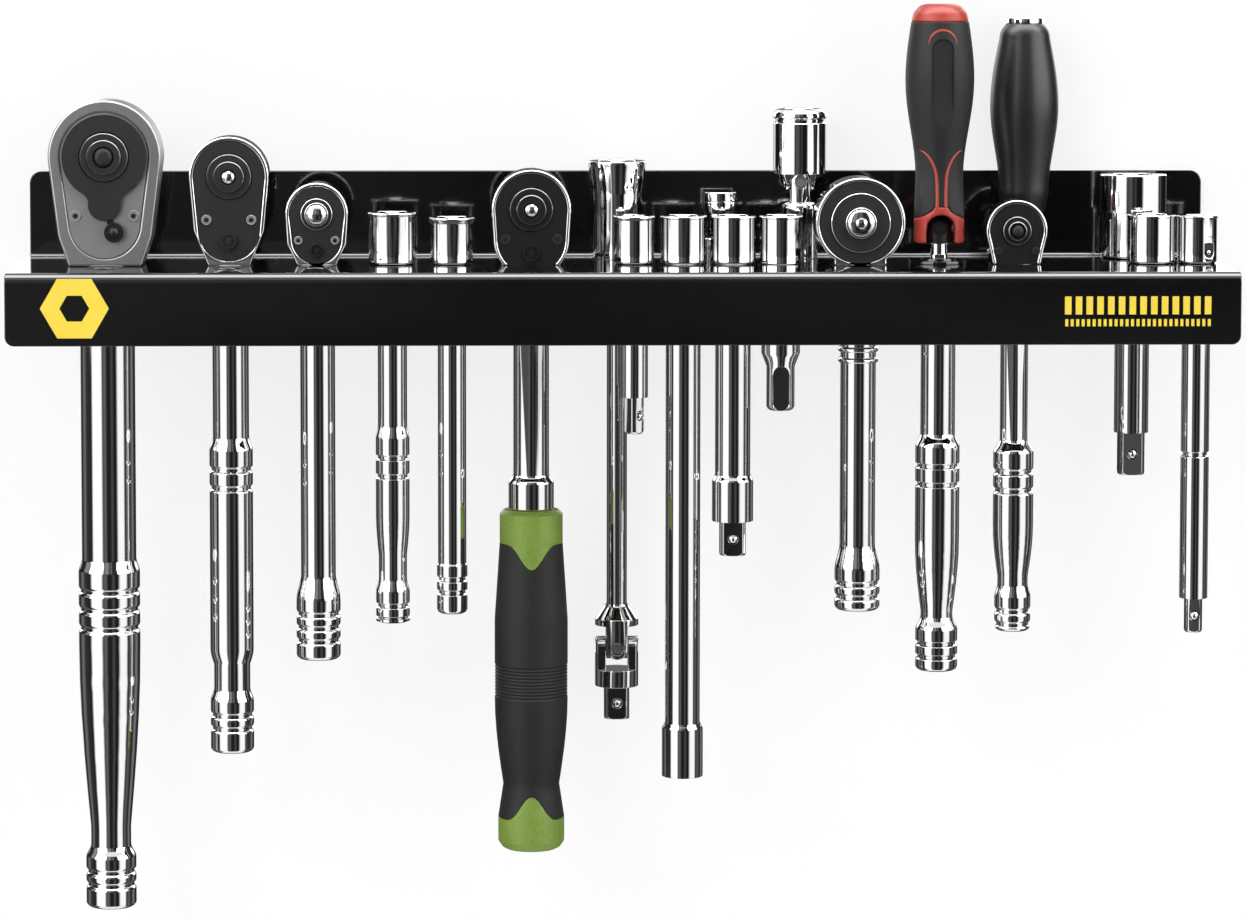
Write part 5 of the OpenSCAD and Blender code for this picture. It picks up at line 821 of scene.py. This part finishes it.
branch = [(-1.6, 4.4, 0.62), (-1.6, 10.1, 0.6), (-1.9, 16.0, 0.55), (-2.9, 19.7, 0.5), (-4.4, 22.6, 0.42),
          (-6.3, 24.7, 0.3), (-7.9, 25.5, 0.12)]
arch = [(-5.2 * cos(pi * k / 16), 64.9 + 5.2 * sin(pi * k / 16), 0.12 + 0.36 * sin(pi * k / 16)) for k in range(17)]
lines = [eased(branch), eased([(-x, z, half) for x, z, half in branch]), arch]
red_driver = [
    dress("red_driver_shank", jet, chrome, edge=0.15, pick=lambda corners: int(max(c.z for c in corners) < tip_top)),
    dress("red_driver_core", red, edge=0.8, steps=4),
    dress("red_driver_sleeve", dark_sleeve, edge=0.35, steps=3),
    dress("red_driver_pin", satin, edge=0.1),
    inlay("red_driver_lines", ("red_driver_sleeve", "red_driver_core"), lines, red),
]
report("red driver", red_driver)

# %% [markdown]
# ## Window of the slim extension
# The head of the slim extension has a small window with a steel ball in it, a little right of the middle. The window is
# not cut: its dark is painted shade, a thin black patch laid on the round head in the same way as the red lines. The
# ball is the dome recipe once more.

# %% Window of the slim extension
window_x, window_z, window_half_h = 3.4, -12.6, 3.5
end_half_w, more_half_w, squareness = 0.25, 1.95, 2.2
ball_r, ball_h, ball_sunk = 0.75, 0.6, 0.2
window = [(window_x, window_z + window_half_h * sin(pi * k / 24),
           end_half_w + more_half_w * min(1.0, squareness * cos(pi * k / 24))) for k in range(-12, 13)]
# The black patch is painted shade for the opening round the ball.
window_shade_patch = inlay("slim_extension_window_shade", ("slim_extension",), [window], jet, 0.04)
low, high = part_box("slim_extension")
head_r = (high[1] - low[1]) / 2
ball = grow(dome_recipe, "slim_extension_ball", body_of(frame["nodes"]["slim_extension"])[0], {
    "Middle": ((low[0] + high[0]) / 2 + window_x * mm,
               (low[1] + high[1]) / 2 - (head_r ** 2 - (window_x * mm) ** 2) ** 0.5 + ball_sunk * mm, window_z * mm),
    "Radius": ball_r * mm, "Height": ball_h * mm, "Finish": chrome})
report("window", [window_shade_patch, ball])

# %% [markdown]
# ## Black driver
# A plain turned grip: its radius follows a rule from foot to neck, belly and top. That makes it a good piece for a
# recipe. A flat grid is rolled up, and each point's distance from the axis comes from its height. Changing one named
# radius changes the whole grip.

# %% Black driver
smooth_black = finish("smooth_black_grip", grey(0.008), grey(0.012), (0.32, 0.40), 2400, 2e-6)
grip_radii = {"Foot": 6.5, "Neck": 9.35, "Belly": 12.85, "Top": 9.5, "Cap": 6.75}
grip_heights = {"Foot Z": -4.0, "Neck Z": 8.5, "Belly Z": 40.8, "Top Z": 66.2, "Cap Z": 71.7}

tree, given = recipe("turned_grip", {
    **{label: "Float" for label in (*grip_radii, *grip_heights)}, "Axis": "Vector", "Finish": "Material"})
grid = wire(tree, "GeometryNodeMeshGrid", {"Size X": 1.0, "Size Y": 1.0, "Vertices X": 97, "Vertices Y": 81})
spot = wire(tree, "ShaderNodeSeparateXYZ", {0: wire(tree, "GeometryNodeInputPosition").outputs[0]})
turn = math(tree, "MULTIPLY", spot.outputs["X"], 2 * pi)
height = wire(tree, "ShaderNodeMapRange", {
    0: spot.outputs["Y"], 1: -0.5, 2: 0.5, 3: given["Foot Z"], 4: given["Cap Z"]}).outputs[0]


def part_way(low, high):
    return wire(tree, "ShaderNodeMapRange", {0: height, 1: given[low], 2: given[high]}).outputs[0]


def between(low, high, share):
    return math(tree, "ADD", given[low], math(tree, "MULTIPLY", math(tree, "SUBTRACT", given[high], given[low]), share))


wave = math(tree, "COSINE", math(tree, "MULTIPLY", part_way("Neck Z", "Belly Z"), pi))
swell = between("Neck", "Belly", math(tree, "SUBTRACT", 0.5, math(tree, "MULTIPLY", wave, 0.5)))
fall = math(tree, "COSINE", math(tree, "MULTIPLY", part_way("Belly Z", "Top Z"), pi / 2))
taper = between("Top", "Belly", fall)
flare = math(tree, "POWER", math(tree, "SUBTRACT", 1.0, part_way("Foot Z", "Neck Z")), 1.3)
foot = math(tree, "MULTIPLY", math(tree, "SUBTRACT", given["Neck"], given["Foot"]), flare)
dome = math(tree, "POWER", part_way("Top Z", "Cap Z"), 2.2)
crown = math(tree, "MULTIPLY", math(tree, "SUBTRACT", given["Top"], given["Cap"]), dome)
radius = math(tree, "SUBTRACT", math(tree, "SUBTRACT", math(tree, "MINIMUM", swell, taper), foot), crown)
rolled = wire(tree, "ShaderNodeCombineXYZ", {
    0: math(tree, "MULTIPLY", radius, math(tree, "COSINE", turn)),
    1: math(tree, "MULTIPLY", radius, math(tree, "SINE", turn)), 2: height})
moved = wire(tree, "ShaderNodeVectorMath", {0: rolled.outputs[0], 1: given["Axis"]}, operation="ADD")
shaped = wire(tree, "GeometryNodeSetPosition", {"Geometry": grid.outputs[0], "Position": moved.outputs[0]})
sewn = wire(tree, "GeometryNodeMergeByDistance", {"Geometry": shaped.outputs[0], "Distance": 1e-6})
smooth = wire(tree, "GeometryNodeSetShadeSmooth", {0: sewn.outputs[0]})
solid = wire(tree, "GeometryNodeRealizeInstances", {0: smooth.outputs[0]})
done = wire(tree, "GeometryNodeSetMaterial", {"Geometry": solid.outputs[0], "Material": given["Finish"]})
wire(tree, "NodeGroupOutput", {0: done.outputs[0]})

low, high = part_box("black_driver_grip")
turned_grip = grow(tree, "black_driver_grip_finished", body_of(frame["nodes"]["black_driver_grip"])[0], {
    **{label: value * mm for label, value in (*grip_radii.items(), *grip_heights.items())},
    "Axis": ((low[0] + high[0]) / 2, (low[1] + high[1]) / 2, 0), "Finish": smooth_black})
shape = bmesh.new()
shape.from_mesh(turned_grip.data)
bmesh.ops.holes_fill(shape, edges=shape.edges)
bmesh.ops.recalc_face_normals(shape, faces=shape.faces)
shape.to_mesh(turned_grip.data)
shape.free()
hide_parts("black_driver_grip")
black_driver = [turned_grip, dress("black_driver_shank", chrome, edge=0.25, steps=3)]
report("black driver", black_driver)
